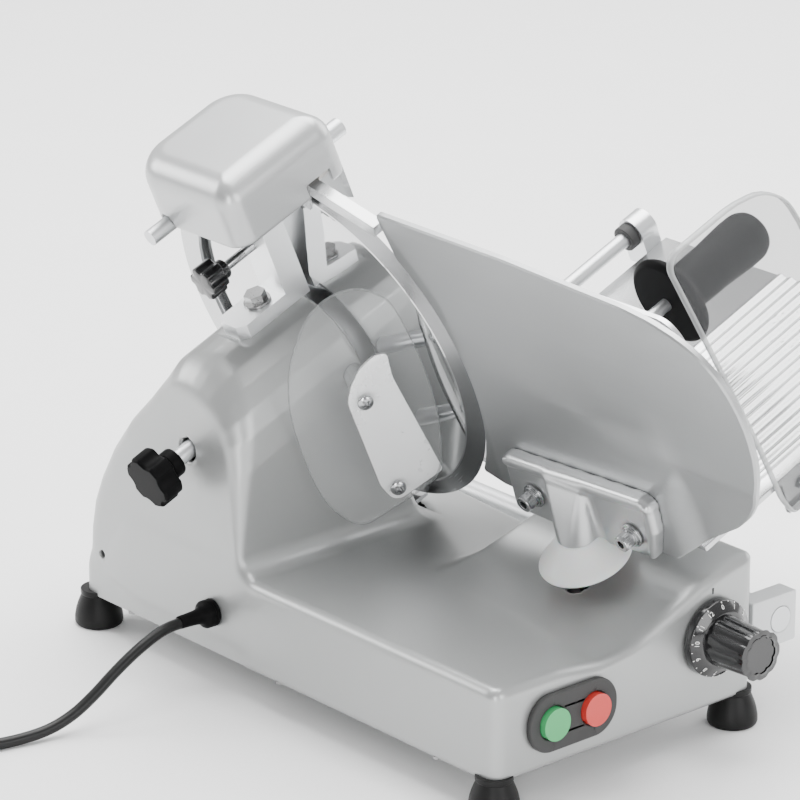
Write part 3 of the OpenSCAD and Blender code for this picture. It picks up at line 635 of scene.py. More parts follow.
# ---------------------------------------------------------------- cast base
hump = [(-6, 47.6), (-13.5, 46.0), (-21.8, 40.8), (-31.2, 29.8), (-48.2, 12.8), (-66.5, -3.8), (-82.8, -23.0), (-94.8, -42.0), (-101.8, -57.0), (-105.6, -74.0), (-107, -92), (-107, -160),
        (-107, -250), (48, -250), (48, -60), (48, -6), (46.2, 12), (41.5, 24), (33.9, 33.9), (24, 41.5), (12.4, 46.4), (4, 47.9)]
hump_sd = poly_table(hump, -135, 75, -230, 75, 0.75)


def deck_sd(x, y, z):
    d = (z - 79.0 - (y + 9.0) * math.tan(TILT)) * CT
    d = r_and(d, z - 113.0, 14.0)
    d = r_and(d, 118.0 + np.clip(y, 0, 45) * 0.18 - x, 7.0)
    d = r_and(d, x - 278.0, 8.0)
    d = r_and(d, y - 88.0, 8.0)
    return np.maximum(d, 60.0 - z)


def corner_radius(z):
    """Rounding between the back face and the barrel's side: tight at the floor, wide at the top."""
    return np.clip(4.0 + (z - 90.0) * 0.16, 4.0, 26.0)


def casting_outer(p):
    x, y, z = p[:, 0], p[:, 1], p[:, 2]
    q = to_bl(p)
    # low floor, falling away behind the blade
    beyond = (x - 26.5) * 0.422 + (y - 46.4) * 0.907
    drop = 0.15 * np.where(beyond > 6, beyond, np.where(beyond > -6, (beyond + 6) ** 2 / 24.0, 0))
    plan = box2(x, y, -107, 278, -120, 88, 9.0)
    low = r_and(plan, z - 79.0 + np.minimum(drop, 10.0), 6.5 + 36.0 * np.clip((-62.0 - x) / 25.0, 0, 1))
    low = r_or(low, deck_sd(x, y, z), 9.0)
    low = np.maximum(low, plan)
    # leaning barrel
    h = hump_sd(q[:, 0], q[:, 1])
    rc = np.where(x > -20, corner_radius(z), 15.0)
    blend = np.clip((x + 40.0) / 50.0, 0, 1)
    rc = 15.0 * (1 - blend) + corner_radius(z) * blend
    h = r_and(h, -120.0 - y, rc)
    h = r_and(h, 20.0 - q[:, 2], 4.0)
    h = np.maximum(h, 40.0 - z)
    body = r_or(low, h, 13.0 * np.clip((x + 90.0) / 40.0, 0.04, 1))
    body = r_and(body, -120.0 - y, 3.0 * np.clip((64.0 - x) / 14.0, 0, 1))
    body = np.maximum(body, plan)
    # flat seat of the sharpener bracket
    seat = np.maximum(44.5 - q[:, 1], np.maximum(np.abs(q[:, 0]) - 40.0, q[:, 2] - 74.0))
    body = r_cut(body, seat, 1.2)
    return r_and(body, 21.6 - z, 0.6)


def casting(p):
    x, y, z = p[:, 0], p[:, 1], p[:, 2]
    q = to_bl(p)
    out = casting_outer(p)
    inner = np.maximum(out + 5.0, 15.0 - z)
    foot = np.maximum(box2(x, y, -102, 273, -115, 83, 4.0), z - 40.0)
    inner = np.minimum(inner, foot)
    rad = np.hypot(q[:, 0], q[:, 1])
    inner = np.minimum(inner, np.maximum(rad - 43.0, np.maximum(10.0 - q[:, 2], q[:, 2] - 40.0)))
    d = r_cut(out, inner, 1.0)
    # relief for the blade guard
    d = r_cut(d, np.maximum(rad - 134.0, np.maximum(-45.0 - q[:, 2], q[:, 2] - 9.2)), 1.5)
    # rod of the lock knob, lead, small screw hole, dial, buttons
    d = r_cut(d, np.maximum(rad - 7.0, 100.0 - q[:, 2]), 0.8)
    d = np.maximum(d, -np.maximum(np.hypot(x - 23.0, z - 48.5) - 6.5, y + 105.0))
    d = r_cut(d, np.maximum(np.hypot(x + 88.0, z - 52.0) - 2.5, y + 105.0), 0.7)
    d = np.maximum(d, -np.maximum(np.hypot(y - 52.0, z - 67.0) - 6.2, 262.0 - x))
    for yb in (-78.0, -46.0):
        d = np.maximum(d, -np.maximum(np.hypot(y - yb, z - 50.0) - 10.4, 262.0 - x))
    # slot of the gauge post
    slot_ = np.maximum(np.hypot(q[:, 0] - 205.0, np.maximum(np.abs(q[:, 2] - 26.0) - 6.0, 0)) - 7.6, np.maximum(-120.0 - q[:, 1], q[:, 1] + 96.0))
    return r_cut(d, slot_, 0.5)


GRID = 2.0
cv, cq = nets(casting, (-116, -125, 16), (283, 93, 252), GRID)
base = add_mesh("cast_base", cv, cq, "cast_paint", "frame", "cast_paint", ["base_casting"], smooth=60.0)

# ---------------------------------------------------------------- carried-over nodes: finish
for n_, o_ in NODE.items():
    s_ = SLOT_OF.get(n_)
    if s_ is None:
        continue
    o_.data.materials.clear()
    o_.data.materials.append(M.get(s_, M["steel"]))

for n_, k_ in (("bottom_plate", "cast_paint"), ("bottom_plate_screws", "dark_steel"), ("sharpener_body", "dark_steel"), ("bracket_bolt", "dark_steel"), ("ring_guard", "guard_metal")):
    NODE[n_].data.materials[0] = M[k_]

# ---------------------------------------------------------------- feet
parts = []
foot = fillet([(0, 0.0), (14.0, 0.0), (15.3, 2.0), (15.2, 6.0), (14.0, 12.0), (11.8, 17.6), (10.6, 20.2), (11.2, 20.8), (11.2, 23.95), (0, 23.95)],
              [0, 1.6, 3.0, 8.0, 16.0, 8.0, 0.6, 0.5, 0.4, 0], 6)
for fx, fy in ((-102, -112), (-102, 80), (269, -112), (269, 80)):
    parts.append(lathe(foot, lambda v, fx=fx, fy=fy: v + np.array([fx, fy, 0.0]), 64))
v_, f_ = merge(parts)
add_mesh("feet_rubber", v_, f_, "rubber", "frame", "rubber", ["rubber_feet"], smooth=50)


# ---------------------------------------------------------------- knobs
def star_loft(layers, rfun, place, n=180, centre=(0, 0)):
    """Lobed solid: layers are (height, inset) from the low end to the high end, closed with domed caps."""
    th_ = 2 * math.pi * np.arange(n) / n
    r0 = np.array([rfun(t) for t in th_])
    verts, faces = [], []
    for h, d in layers:
        r = np.maximum(r0 - d, 0.15 * r0)
        if d > 5:
            r = np.maximum(r0.min() - (d - 5), 0.3) + (r - r.min()) * max(0.0, 1 - (d - 5) / 6)
        verts += [(centre[0] + a * math.cos(t), centre[1] + a * math.sin(t), h) for a, t in zip(r, th_)]
    for k in range(len(layers) - 1):
        for i in range(n):
            j = (i + 1) % n
            faces.append((k * n + i, k * n + j, (k + 1) * n + j, (k + 1) * n + i))
    lo_c, hi_c = len(verts), len(verts) + 1
    verts += [(centre[0], centre[1], layers[0][0]), (centre[0], centre[1], layers[-1][0])]
    top = (len(layers) - 1) * n
    for i in range(n):
        j = (i + 1) % n
        faces.append((j, i, lo_c))
        faces.append((top + i, top + j, hi_c))
    return place(np.array(verts)), faces


def scallops(R, count, cut_r, cut_d, soft, phase=0.0):
    def rf(t):
        best = R
        step = 2 * math.pi / count
        dlt = (t - phase + step / 2) % step - step / 2
        s = cut_d * math.sin(dlt)
        if abs(s) < cut_r:
            q = cut_d * math.cos(dlt) - math.sqrt(cut_r ** 2 - s * s)
        else:
            q = R + 4
        h = max(soft - abs(q - best), 0.0) / soft
        return min(q, best) - h * h * soft / 4
    return rf


def rim(h0, h1, r, extra=()):
    lo = [(h0 + r * (1 - math.cos(math.pi / 2 * i / 5)), r * (1 - math.sin(math.pi / 2 * i / 5))) for i in range(6)]
    return lo + [(h1 - (h - h0), d) for h, d in lo[::-1]] + list(extra)


knob_r = scallops(17.7, 6, 6.9, 21.9, 2.6, math.radians(12))
k1 = star_loft([(150.6, 7.6), (150.2, 5.0)] + rim(150.0, 164.0, 2.0) + [(164.25, 3.6), (164.35, 6.0)], knob_r, bl)
hubp = fillet([(5.45, 139.2), (8.5, 139.2), (9.2, 140.6), (9.2, 146.4), (8.7, 147.2), (9.4, 148.4), (10.2, 151.4), (5.45, 151.4)],
              [0, 0.8, 0.8, 0.5, 0.4, 1.0, 0, 0], 4)
k2 = lathe(hubp, bl, 72, close=True)
v_, f_ = merge([k1, k2])
add_mesh("lock_star_knob", v_, f_, "black_plastic", "lock", "black_plastic", ["lock_knob"], smooth=40)

clamp_at = lambda v: bl(v + np.array([-4.0, 86.0, 0]))
cl_r = scallops(11.1, 6, 4.3, 13.4, 1.8, math.radians(20))
k1 = star_loft([(62.2, 3.4)] + rim(62.0, 75.0, 1.5) + [(75.2, 2.6)], cl_r, clamp_at)
k2 = lathe(fillet([(0, 56), (5.8, 56), (6.4, 57), (6.6, 62.5), (0, 62.5)], [0, 0.6, 0.6, 0, 0], 4), clamp_at, 48)
v_, f_ = merge([k1, k2])
add_mesh("clamp_lobe_knob", v_, f_, "gloss_black", "clamp_knob", "black_plastic", smooth=40)
shaft = lathe(fillet([(0, 32), (3, 32), (3, 56.5), (0, 56.5)], 0.4, 3), clamp_at, 32)
ob = add_mesh("clamp_screw", *shaft, "steel", "clamp_knob", "steel", smooth=40)
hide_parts("sharpener_knob")

# ---------------------------------------------------------------- blade
prof = [(15, 10), (56, 10), (78, 6.8), (100, 3.6), (117, 1.1), (124.6, 0), (125, 0.25), (119, 2.3), (113.2, 4.35), (112.4, 4.7), (108, 5.6), (98, 7.25), (78, 10.6), (60, 13.55), (57, 13.9), (15, 13.9)]
v_, f_ = lathe(prof, bl, 256, close=True)
ob = add_mesh("round_blade", v_, f_, ["blade_steel", "edge_steel"], "blade_unit", "blade_steel", ["blade"], smooth=4)
n_ = 256
idx = np.zeros(len(f_), np.int32)
for k in range(len(prof)):
    if 6 <= k <= 7 or k in (4,):
        idx[k * n_:(k + 1) * n_] = 1
ob.data.polygons.foreach_set("material_index", idx)

# ---------------------------------------------------------------- slice deflector
plate2d = [(-63.5, 5), (-63, -60), (-58, -76), (-23, -66), (-32, 11), (-30, 28), (-38, 30), (-50, 24), (-58, 15)]
v_, f_ = slab(fillet(plate2d, [14, 12, 8, 4, 20, 4, 10, 14, 10], 6, True), round_edge(-2.0, -0.2, 0.5, 3), dfl)
ob = add_mesh("deflector_sheet", v_, f_, ["bright_aluminium", "dark_steel"], "frame", "bright_aluminium", ["deflector_plate"], smooth=40)
# the side faces take dark_steel as painted shade: a dark line along the bright sheet's edges
rim_faces(ob, v_, 8)
shield2d = [(-95, 25), (-98, 10), (-99.5, -8), (-99.5, -36), (-97, -55), (-92, -68), (-86, -77), (-78, -81), (-62, -78), (-40, -72.5), (-27, -66), (-20, -50), (-14.5, -25),
            (-12.5, 5), (-13.5, 30), (-17, 58), (-23, 70), (-32, 78), (-44, 81), (-56, 79), (-68, 72), (-78, 60), (-88, 44)]
v_, f_ = slab(smooth_loop(ccw(shield2d), 5), round_edge(0.0, 2.5, 0.7, 3), dfl)
ob = add_mesh("clear_shield", v_, f_, ["clear", "clear_rim"], "frame", "clear", ["deflector_shield"], smooth=40)
rim_faces(ob, v_, 8)


def pan_screw(p):
    """Pan head with a cross recess; local axis z, seat at 0."""
    r = np.hypot(p[:, 0], p[:, 1])
    z = p[:, 2]
    head = np.maximum(r_and(r - 5.0, np.sqrt(r ** 2 + (z + 6.2) ** 2) - 8.9, 0.5), -z)
    c, s = math.cos(0.5), math.sin(0.5)
    u, v = p[:, 0] * c + p[:, 1] * s, -p[:, 0] * s + p[:, 1] * c
    a = np.maximum(np.abs(u) - 2.7, np.abs(v) - 0.62 - 0.05 * z)
    b = np.maximum(np.abs(v) - 2.7, np.abs(u) - 0.62 - 0.05 * z)
    x = np.maximum(np.minimum(a, b), 0.7 - z)
    x = np.minimum(x, np.maximum(r - 1.25, 0.5 - z))
    return r_cut(head, x, 0.15)


sv, sq = nets(pan_screw, (-5.6, -5.6, -0.6), (5.6, 5.6, 3.4), 0.28)
parts = []
for b_ in (2.5, -64.0):
    parts.append((dfl(sv + np.array([-53.0, b_, 2.55])), sq))
    parts.append(lathe([(0, -13.5), (2.2, -13.5), (2.5, -13.0), (2.5, 2.5), (0, 2.5)], lambda v, b_=b_: dfl(v + np.array([-53.0, b_, 0])), 32))
v_, f_ = merge(parts)
add_mesh("cross_head_screws", v_, f_, "steel", "frame", "steel", ["deflector_screws"], smooth=35)

# ---------------------------------------------------------------- sharpener cover
def cover_out(q):
    x, b, w = q[:, 0], q[:, 1], q[:, 2]
    d = box2(x, w, -47, 47, -21, 70, np.where(x < 0, 26.0, 13.0))
    return r_and(d, b - 165.0, 17.0)


def cover_sd(q):
    x, b, w = q[:, 0], q[:, 1], q[:, 2]
    out = cover_out(q)
    d = r_cut(out, np.maximum(out + 3.0, b - 162.0), 0.6)
    low = np.where(w < -18.0, 98.0, 122.0)
    d = r_and(d, low - b, 1.0)
    pass_ = np.maximum(b - 131.0, np.abs(w - 3.5) - 9.5)
    d = r_cut(d, pass_, 0.8)
    hole = np.minimum(np.hypot(x + 23.0, b - 123.0) - 6.3, np.maximum(np.abs(x + 23.0) - 6.3, b - 123.0))
    d = r_cut(d, np.maximum(hole, 55.0 - w), 0.6)
    return r_cut(d, np.maximum(np.hypot(x - 23.0, b - 134.0) - 6.3, w + 10.0), 0.5)


v_, q_ = nets(cover_sd, (-50, 95, -24), (50, 168, 73), 1.2)
add_mesh("cover_roof", bl(v_), q_, "cover_paint", "sharpener", "cover_paint", ["sharpener_cover"], smooth=60)

# ---------------------------------------------------------------- thickness gauge
g2 = [(93.5, 118.5), (202, 117.5), (300, 112.5), (322, 109), (340, 103), (355, 94.5), (366, 82), (373, 65), (375.5, 45), (374, 25), (368, 5), (357, -14), (345, -29),
      (331, -41.5), (301, -61), (273, -81.5), (262, -82), (126, -77), (108, -74.5), (106.4, -72), (113.6, -60), (120.5, -44.6), (125, -30), (127.6, -15), (128.5, 0),
      (127.6, 15), (125, 30), (120.5, 44.6), (113.6, 60), (102, 78), (96.3, 85), (95.6, 96.6)]
out2 = ccw(fillet(g2, [3, 60, 40, 40, 40, 40, 40, 40, 40, 40, 40, 40, 40, 30, 40, 5, 6, 5, 2, 2] + [40] * 10 + [8, 5], 5, True))
# even spacing along the rim
seg_ = np.linalg.norm(np.roll(out2, -1, 0) - out2, axis=1)
rim_pts = []
for i in range(len(out2)):
    k = max(1, int(round(seg_[i] / 4.0)))
    for t in range(k):
        rim_pts.append(out2[i] + (out2[(i + 1) % len(out2)] - out2[i]) * t / k)
rim_pts = np.array(rim_pts)
keep = np.linalg.norm(np.roll(rim_pts, -1, 0) - rim_pts, axis=1) > 0.3
rim_pts = rim_pts[keep]
g_sd = poly_table(out2, 85, 385, -95, 128, 1.0)
# creases of the fold, from one apex down to the lower rim
crease_b = np.array([-90, -78.4, -60, -41.5, -28, -15, -6, -0.8, 5])
crease_l = np.array([276.0, 276.4, 277.0, 278.4, 282.5, 289.0, 296.0, 301.5, 301.5])


def soft_step(t, k=2.2):
    return 0.5 * (t + np.sqrt(t * t + k * k))


def bend(xy):
    """Fold in the lower right corner: a narrow facet between two creases, then the corner leaning away from the slice side."""
    lx = np.interp(xy[:, 1], crease_b, crease_l)
    return -0.27 * (soft_step(xy[:, 0] - lx) - soft_step(xy[:, 0] - 301.5))


# line where the sloped band next to the blade begins
band_b = np.array([-90, -77, -15, 10, 30, 60, 78, 96.6, 112, 125])
band_x = np.array([125.5, 126.2, 130.6, 131.0, 130.4, 127.5, 119.0, 106.5, 97.5, 90.0])


def left_edge(xy):
    """Sloped band next to the blade."""
    return np.clip((np.interp(xy[:, 1], band_b, band_x) - xy[:, 0]) / 16.0, 0, 1) * 1.3 * (xy[:, 1] < 116)


gx, gy = np.meshgrid(np.arange(92, 378, 4.5), np.arange(-84, 121, 4.5), indexing="ij")
grid = np.stack([gx.ravel(), gy.ravel()], 1)
fx_, fy_ = np.meshgrid(np.arange(262, 340, 2.25), np.arange(-80, 34, 2.25), indexing="ij")
grid = np.concatenate([grid, np.stack([fx_.ravel(), fy_.ravel()], 1)])
bb_ = np.arange(-76, 115, 3.0)
crease = np.concatenate([np.stack([np.interp(bb_, band_b, band_x) + k, bb_], 1) for k in (-4.5, -0.4, 0.4)])
# drop coarse points where the fine ones lie
coarse = np.arange(len(grid)) < gx.size
fine_zone = (np.abs(grid[:, 0] - np.interp(grid[:, 1], band_b, band_x)) < 3.0) | (grid[:, 0] > 260) & (grid[:, 0] < 341) & (grid[:, 1] > -81) & (grid[:, 1] < 35)
grid = grid[~(coarse & fine_zone)]
front_rim = inset(rim_pts, 1.1)
in2 = inset(rim_pts, 3.4)
in3 = inset(rim_pts, 6.5)
near_left = lambda a: a[(a[:, 0] < 142) & (a[:, 1] < 112)]
grid = grid[g_sd(grid[:, 0], grid[:, 1]) < -9.0]
more = np.concatenate([in2, in3, crease])
more = more[g_sd(more[:, 0], more[:, 1]) < -2.6]
inner_pts = np.concatenate([grid, more])
nb = len(rim_pts)
allp = [Vector(p) for p in np.concatenate([front_rim, inner_pts])]
edges_ = [(i, (i + 1) % nb) for i in range(nb)]
cd = geometry.delaunay_2d_cdt(allp, edges_, [], 1, 1e-4)
cp = np.array([tuple(p) for p in cd[0]])
orig_ids = cd[3]
where_rim = {}
for new, olds in enumerate(orig_ids):
    for o_ in olds:
        if o_ < nb:
            where_rim[o_] = new
tri = [tuple(t) for t in cd[2]]
W0, W1 = 0.6, 5.1
nf = len(cp)
disp = bend(cp)
front = np.column_stack([cp, W1 + disp - left_edge(cp)])
back = np.column_stack([cp, W0 + disp])
db = bend(rim_pts)
cut_l = left_edge(rim_pts)
mid_f = np.column_stack([rim_pts, np.maximum(W1 - 1.0 - cut_l, W0 + 0.8) + db])
mid_b = np.column_stack([rim_pts, np.full(nb, W0 + 0.5) + db])
verts_ = np.concatenate([front, back, mid_f, mid_b])
faces_ = []
for t in tri:
    a, b, c = cp[list(t)]
    up = (b - a)[0] * (c - a)[1] - (b - a)[1] * (c - a)[0] > 0
    t = t if up else t[::-1]
    faces_.append(t)
    faces_.append(tuple(nf + i for i in t[::-1]))
for i in range(nb):
    j = (i + 1) % nb
    fi, fj = where_rim[i], where_rim[j]
    mf, mb = 2 * nf, 2 * nf + nb
    faces_.append((mf + i, mf + j, fj, fi))
    faces_.append((mb + i, mb + j, mf + j, mf + i))
    faces_.append((nf + fi, nf + fj, mb + j, mb + i))
ob = add_mesh("gauge_sheet", bl(verts_), faces_, "gauge_aluminium", "gauge", "satin_aluminium", ["gauge_plate"], smooth=28)
# painted light: the fold facet gets a painted highlight, with a stronger spot near the fold's top, and the band next
# to the blade is painted darker as shade
lx_ = np.interp(verts_[:, 1], crease_b, crease_l)
t_ = np.clip((verts_[:, 0] - lx_) / np.maximum(301.5 - lx_, 0.5), 0, 1)
painted_light = np.sin(math.pi * t_) ** 0.8 * np.clip((-1.5 - verts_[:, 1]) / 14.0, 0, 1)
# painted highlight near the top of the fold
painted_highlight = np.clip(1 - np.abs(verts_[:, 0] - 296.0) / 16.0, 0, 1) * np.clip((verts_[:, 1] + 6.0) / 10.0, 0, 1) * np.clip((42.0 - verts_[:, 1]) / 36.0, 0, 1)
# painted shade on the sloped band next to the blade
painted_band_shade = np.clip((np.interp(verts_[:, 1], band_b, band_x) - verts_[:, 0]) / 2.5, 0, 1) * (verts_[:, 1] < 112)
at_ = ob.data.attributes.new("painted_light", "FLOAT", "POINT")
at_.data.foreach_set("value", (painted_light + 0.4 * painted_highlight - 0.30 * painted_band_shade).astype(np.float32))

b2 = [(145, -43), (150, -40.2), (267, -33.4), (272.5, -38), (270, -58), (260.5, -80.5), (240, -81.5), (222, -84), (190, -86), (139.5, -85)]
b_sd = poly_table(fillet(ccw(b2), 4.0, 6, True), 125, 290, -105, -15, 0.5)


def bracket_sd(q):
    x, b, w = q[:, 0], q[:, 1], q[:, 2]
    d2 = b_sd(x, b)
    d = r_and(d2, w - 12.0, 2.0)
    # rounded bar along the top and rib down the right
    below = -((x - 150) * -0.058 + (b + 40.2) * 0.998)
    bar = r_and(r_and(d2, w - 14.8, 3.6), below - 7.0, 3.0)
    rib = r_and(r_and(d2, w - 14.4, 3.2), 258.5 + (b + 80.5) * 0.24 - x, 2.6)
    d = r_or(d, bar, 3.5)
    d = r_or(d, rib, 3.0)
    # column growing out of the bar into a round post
    t = np.clip((-41.0 - b) / 37.0, 0, 1)
    mid = 199.8 + 5.2 * t
    half = 18.2 - 5.2 * t
    face = 14.8 + 17.8 * t ** 0.85
    col = r_and(np.abs(x - mid) - half, w - face, 5.0 + 7.6 * t)
    col = r_and(r_and(col, b + 40.6, 2.0), -82.2 - b, 0.6)
    d = r_or(d, col, 4.0)
    for bx in (164.0, 248.0):
        d = r_cut(d, np.maximum(np.hypot(x - bx, b + 66.0) - 9.4, 12.0 - w), 1.4)
    d = np.maximum(d, 5.3 - w)
    return d


v_, q_ = nets(bracket_sd, (134, -90, 3.6), (278, -28, 36), 1.0)
add_mesh("gauge_casting", bl(v_), q_, "bracket_metal", "gauge", "satin_aluminium", ["gauge_bracket"], smooth=60)
stem = lathe(fillet([(0, -132), (6.4, -132), (6.8, -131), (6.8, -82.2), (0, -82.2)], [0, 0.4, 0.4, 0, 0], 3),
             lambda v: bl(np.stack([205 + v[:, 0], v[:, 2], 20 - v[:, 1]], 1)), 64)
add_mesh("gauge_stem", *stem, "steel", "gauge", "steel", smooth=40)

sk = fillet([(28.4, 0.4), (28.9, 1.5), (26.4, 4.4), (21.4, 8.4), (17.4, 12.6), (15.0, 15.6), (13.4, 17.3), (12.4, 17.5), (10.1, 17.5), (10.1, 15), (14.6, 10.0), (20.6, 5.2), (26.4, 0.4)],
            [0.3, 0.6, 6, 12, 12, 6, 0.6, 0.4, 0.2, 3, 10, 8, 0.4], 6, True)
v_, f_ = lathe(sk, lambda v: bl(np.stack([205 + v[:, 0], -93.6 + v[:, 2], 20 - v[:, 1]], 1)), 128, close=True)
add_mesh("skirt_cone", v_, f_, "white_plastic", "gauge", "white_plastic", ["gauge_skirt"], smooth=40)


def cap_bolt(p):
    """Socket cap screw on a washer; local axis z, seat at 0."""
    r = np.hypot(p[:, 0], p[:, 1])
    z = p[:, 2]
    washer = r_and(r - 8.0, np.abs(z - 0.85) - 0.8, 0.3)
    kn = 0.16 * np.cos(36 * np.arctan2(p[:, 1], p[:, 0])) * np.clip((z - 3.5), 0, 1) * np.clip((9.6 - z), 0, 1)
    head = r_and(r - 5.2 + kn, np.abs(z - 6.05) - 4.55, 0.6)
    a = np.arctan2(p[:, 1], p[:, 0])
    hexd = np.max(np.stack([np.abs(r * np.cos(a - k * math.pi / 3)) for k in range(3)]), 0) - 2.5
    head = r_cut(head, np.maximum(hexd, 6.0 - z), 0.35)
    spring = r_and(r - 6.6, np.abs(z - 2.3) - 0.9, 0.3)
    return np.minimum(np.minimum(washer, head), spring)


sv, sq = nets(cap_bolt, (-8.8, -8.8, -0.6), (8.8, 8.8, 11.4), 0.36)
parts = []
for bx in (164.0, 248.0):
    parts.append((bl(sv + np.array([bx, -66.0, 12.1])), sq))
    parts.append(lathe([(0, 2.3), (2.7, 2.3), (3.0, 2.7), (3.0, 12.3), (0, 12.3)], lambda v, bx=bx: bl(v + np.array([bx, -66.0, 0])), 32))
v_, f_ = merge(parts)
add_mesh("socket_cap_bolts", v_, f_, "steel", "gauge", "steel", ["gauge_bolts"], smooth=35)

# ---------------------------------------------------------------- thickness dial
dial_at = lambda v: np.stack([v[:, 2], 52.0 - v[:, 0], 67.0 + v[:, 1]], 1)
disc = fillet([(6.02, 278.6), (23.2, 278.6), (24.0, 279.4), (24.0, 283.6), (23.6, 284.6), (18.0, 287.8), (16.6, 288.2), (6.02, 288.2)],
              [0, 0.6, 0.6, 0.8, 0.8, 0.8, 0.2, 0], 4)
d1 = lathe(disc, dial_at, 128, close=True)
grip_r = lambda t: 15.9 - 0.9 * (0.5 + 0.5 * math.cos(9 * t)) ** 3
d2 = star_loft([(287.2, 0.0), (289.0, 0.15), (300.0, 0.8), (312.0, 1.4), (316.5, 1.7), (318.2, 2.3), (318.9, 3.2), (319.0, 4.4), (318.4, 5.2), (318.3, 9.0)], grip_r, dial_at, 216)
v_, f_ = merge([d1, d2])
add_mesh("dial_body", v_, f_, "gloss_black", "dial", "gloss_black", ["thickness_dial"], smooth=35)
marks = []
cone_n = np.array([0.88, 0.475])


def on_dial(px, py, lift, ang):
    """px to the right, py outwards from the ring's middle, on the slanted ring; ang clockwise from the top."""
    rad = 20.9 + py * cone_n[0] + lift * cone_n[1]
    ax_ = 286.25 - py * cone_n[1] + lift * cone_n[0]
    # right is clockwise seen from the dial end
    y_, z_ = math.cos(ang), math.sin(ang)
    u = rad
    return np.stack([ax_, 52.0 + (u * math.sin(ang) + px * math.cos(ang)), 67.0 + (u * math.cos(ang) - px * math.sin(ang))], 1)


for k in range(13):
    ang = math.radians(332.0 / 12 * k)
    tx = bpy.data.curves.new("num", "FONT")
    tx.body = str(k)
    tx.size = 4.7
    tx.align_x, tx.align_y = "CENTER", "CENTER"
    tx.extrude = 0.06
    tx.resolution_u = 3
    to = bpy.data.objects.new("num", tx)
    bpy.context.scene.collection.objects.link(to)
    bpy.context.view_layer.update()
    me = bpy.data.meshes.new_from_object(to.evaluated_get(bpy.context.evaluated_depsgraph_get()))
    tv = np.array([v.co for v in me.vertices])
    tf = [tuple(p.vertices) for p in me.polygons]
    marks.append((on_dial(tv[:, 0] * 0.86, tv[:, 1] * 0.86 - 0.55, tv[:, 2] + 0.10, ang), tf))
    bpy.data.objects.remove(to)
    bpy.data.meshes.remove(me)
    bpy.data.curves.remove(tx)
for k in range(25):
    ang = math.radians(332.0 / 24 * k)
    hw, l0, l1 = (0.28, 2.0, 3.0) if k % 2 == 0 else (0.2, 2.3, 3.0)
    tv = np.array([(sx * hw, y_, z_) for z_ in (0.0, 0.12) for sx, y_ in ((-1, l0), (1, l0), (1, l1), (-1, l1))])
    tf = [(4, 5, 6, 7), (3, 2, 1, 0), (0, 1, 5, 4), (1, 2, 6, 5), (2, 3, 7, 6), (3, 0, 4, 7)]
    marks.append((on_dial(tv[:, 0], tv[:, 1], tv[:, 2] + 0.06, ang), tf))
v_, f_ = merge(marks)
add_mesh("dial_scale", v_, f_, "print_white", "dial", "white_plastic", smooth=0)
idx_v = np.array([(x, 52.0 + sy * h, z) for x in (277.8, 278.12) for sy, h, z in ((-1, 0.5, 93.2), (1, 0.5, 93.2), (1, 0.9, 97.0), (-1, 0.9, 97.0))])
add_mesh("dial_index", idx_v, [(4, 5, 6, 7), (3, 2, 1, 0), (0, 1, 5, 4), (1, 2, 6, 5), (2, 3, 7, 6), (3, 0, 4, 7)], "print_black", "frame", "black_plastic", smooth=0)

# ---------------------------------------------------------------- carriage
hg = [(45, 97), (47.5, 104), (54, 107), (100, 106.8), (123.5, 101.6), (140.4, 85), (146.5, 60), (152, -104), (75, -104), (70, -90), (65.5, -44), (58, 8.4), (50, 63.4)]
v_, f_ = slab(fillet(hg, [10, 8, 10, 40, 34, 34, 34, 6, 6, 20, 40, 60, 60], 6, True), round_edge(282.3, 287.3, 1.6, 4), lambda v: bl(np.stack([v[:, 2], v[:, 1], -v[:, 0]], 1)))
f_ = [t[::-1] for t in f_]
ob = add_mesh("guard_panel", v_, f_, ["smoke", "smoke_rim"], "carriage", "smoke", ["hand_guard"], smooth=40)
rim_faces(ob, v_, 10)

top = [(38.6, -80.0)] + [(x, -80.0 + 1.9 * (0.5 + 0.5 * math.cos(2 * math.pi * (x - 142) / 9)) ** 0.8) for x in np.arange(137.5, 272.6, 0.75)] + [(281.4, -80.0), (282.0, -80.5)]
sec = np.array([(38.0, -80.6)] + top + [(282.0, -83.6), (281.6, -84.0), (38.4, -84.0), (38.0, -83.6)])
parts = [slab(sec, [(-230.0, 0.5), (-229.6, 0.1), (-229.2, 0.0), (-10.8, 0.0), (-10.4, 0.1), (-10.0, 0.5)], bl)]
flr = fillet([(278, -106), (282, -106), (282, -83), (278, -83)], 1.0, 3, True)
parts.append(slab(flr, round_edge(-226, -76, 0.8, 3), bl))
fll = fillet([(38, -96), (42, -96), (42, -83), (38, -83)], 1.0, 3, True)
parts.append(slab(fll, round_edge(-226, -14, 0.8, 3), bl))
v_, f_ = merge(parts)
add_mesh("ribbed_tray", v_, f_, "tray_aluminium", "carriage", "tray_aluminium", ["food_tray"], smooth=30)

hp = fillet([(4.02, 0), (26.5, 0), (30, 3.4), (27.4, 7.6), (18.6, 10.6), (15, 15), (15.2, 40), (16.5, 62), (16.3, 73), (12.6, 80), (0, 82)],
            [0, 3, 3.2, 3, 7, 7, 60, 30, 12, 8, 0], 8)
v_, f_ = lathe(hp, lambda v: bl(np.stack([187 + v[:, 0], -v[:, 1], -107 - v[:, 2]], 1)), 96)
v2_, f2_ = lathe([(4.02, 0), (4.02, 12.1), (0, 12.1)], lambda v: bl(np.stack([187 + v[:, 0], -v[:, 1], -107 - v[:, 2]], 1)), 96)
v_, f_ = merge([(v_, f_), (v2_, [t[::-1] for t in f2_])])
add_mesh("grip_handle", v_, f_, "black_plastic", "pusher", "black_plastic", ["pusher_handle"], smooth=40)

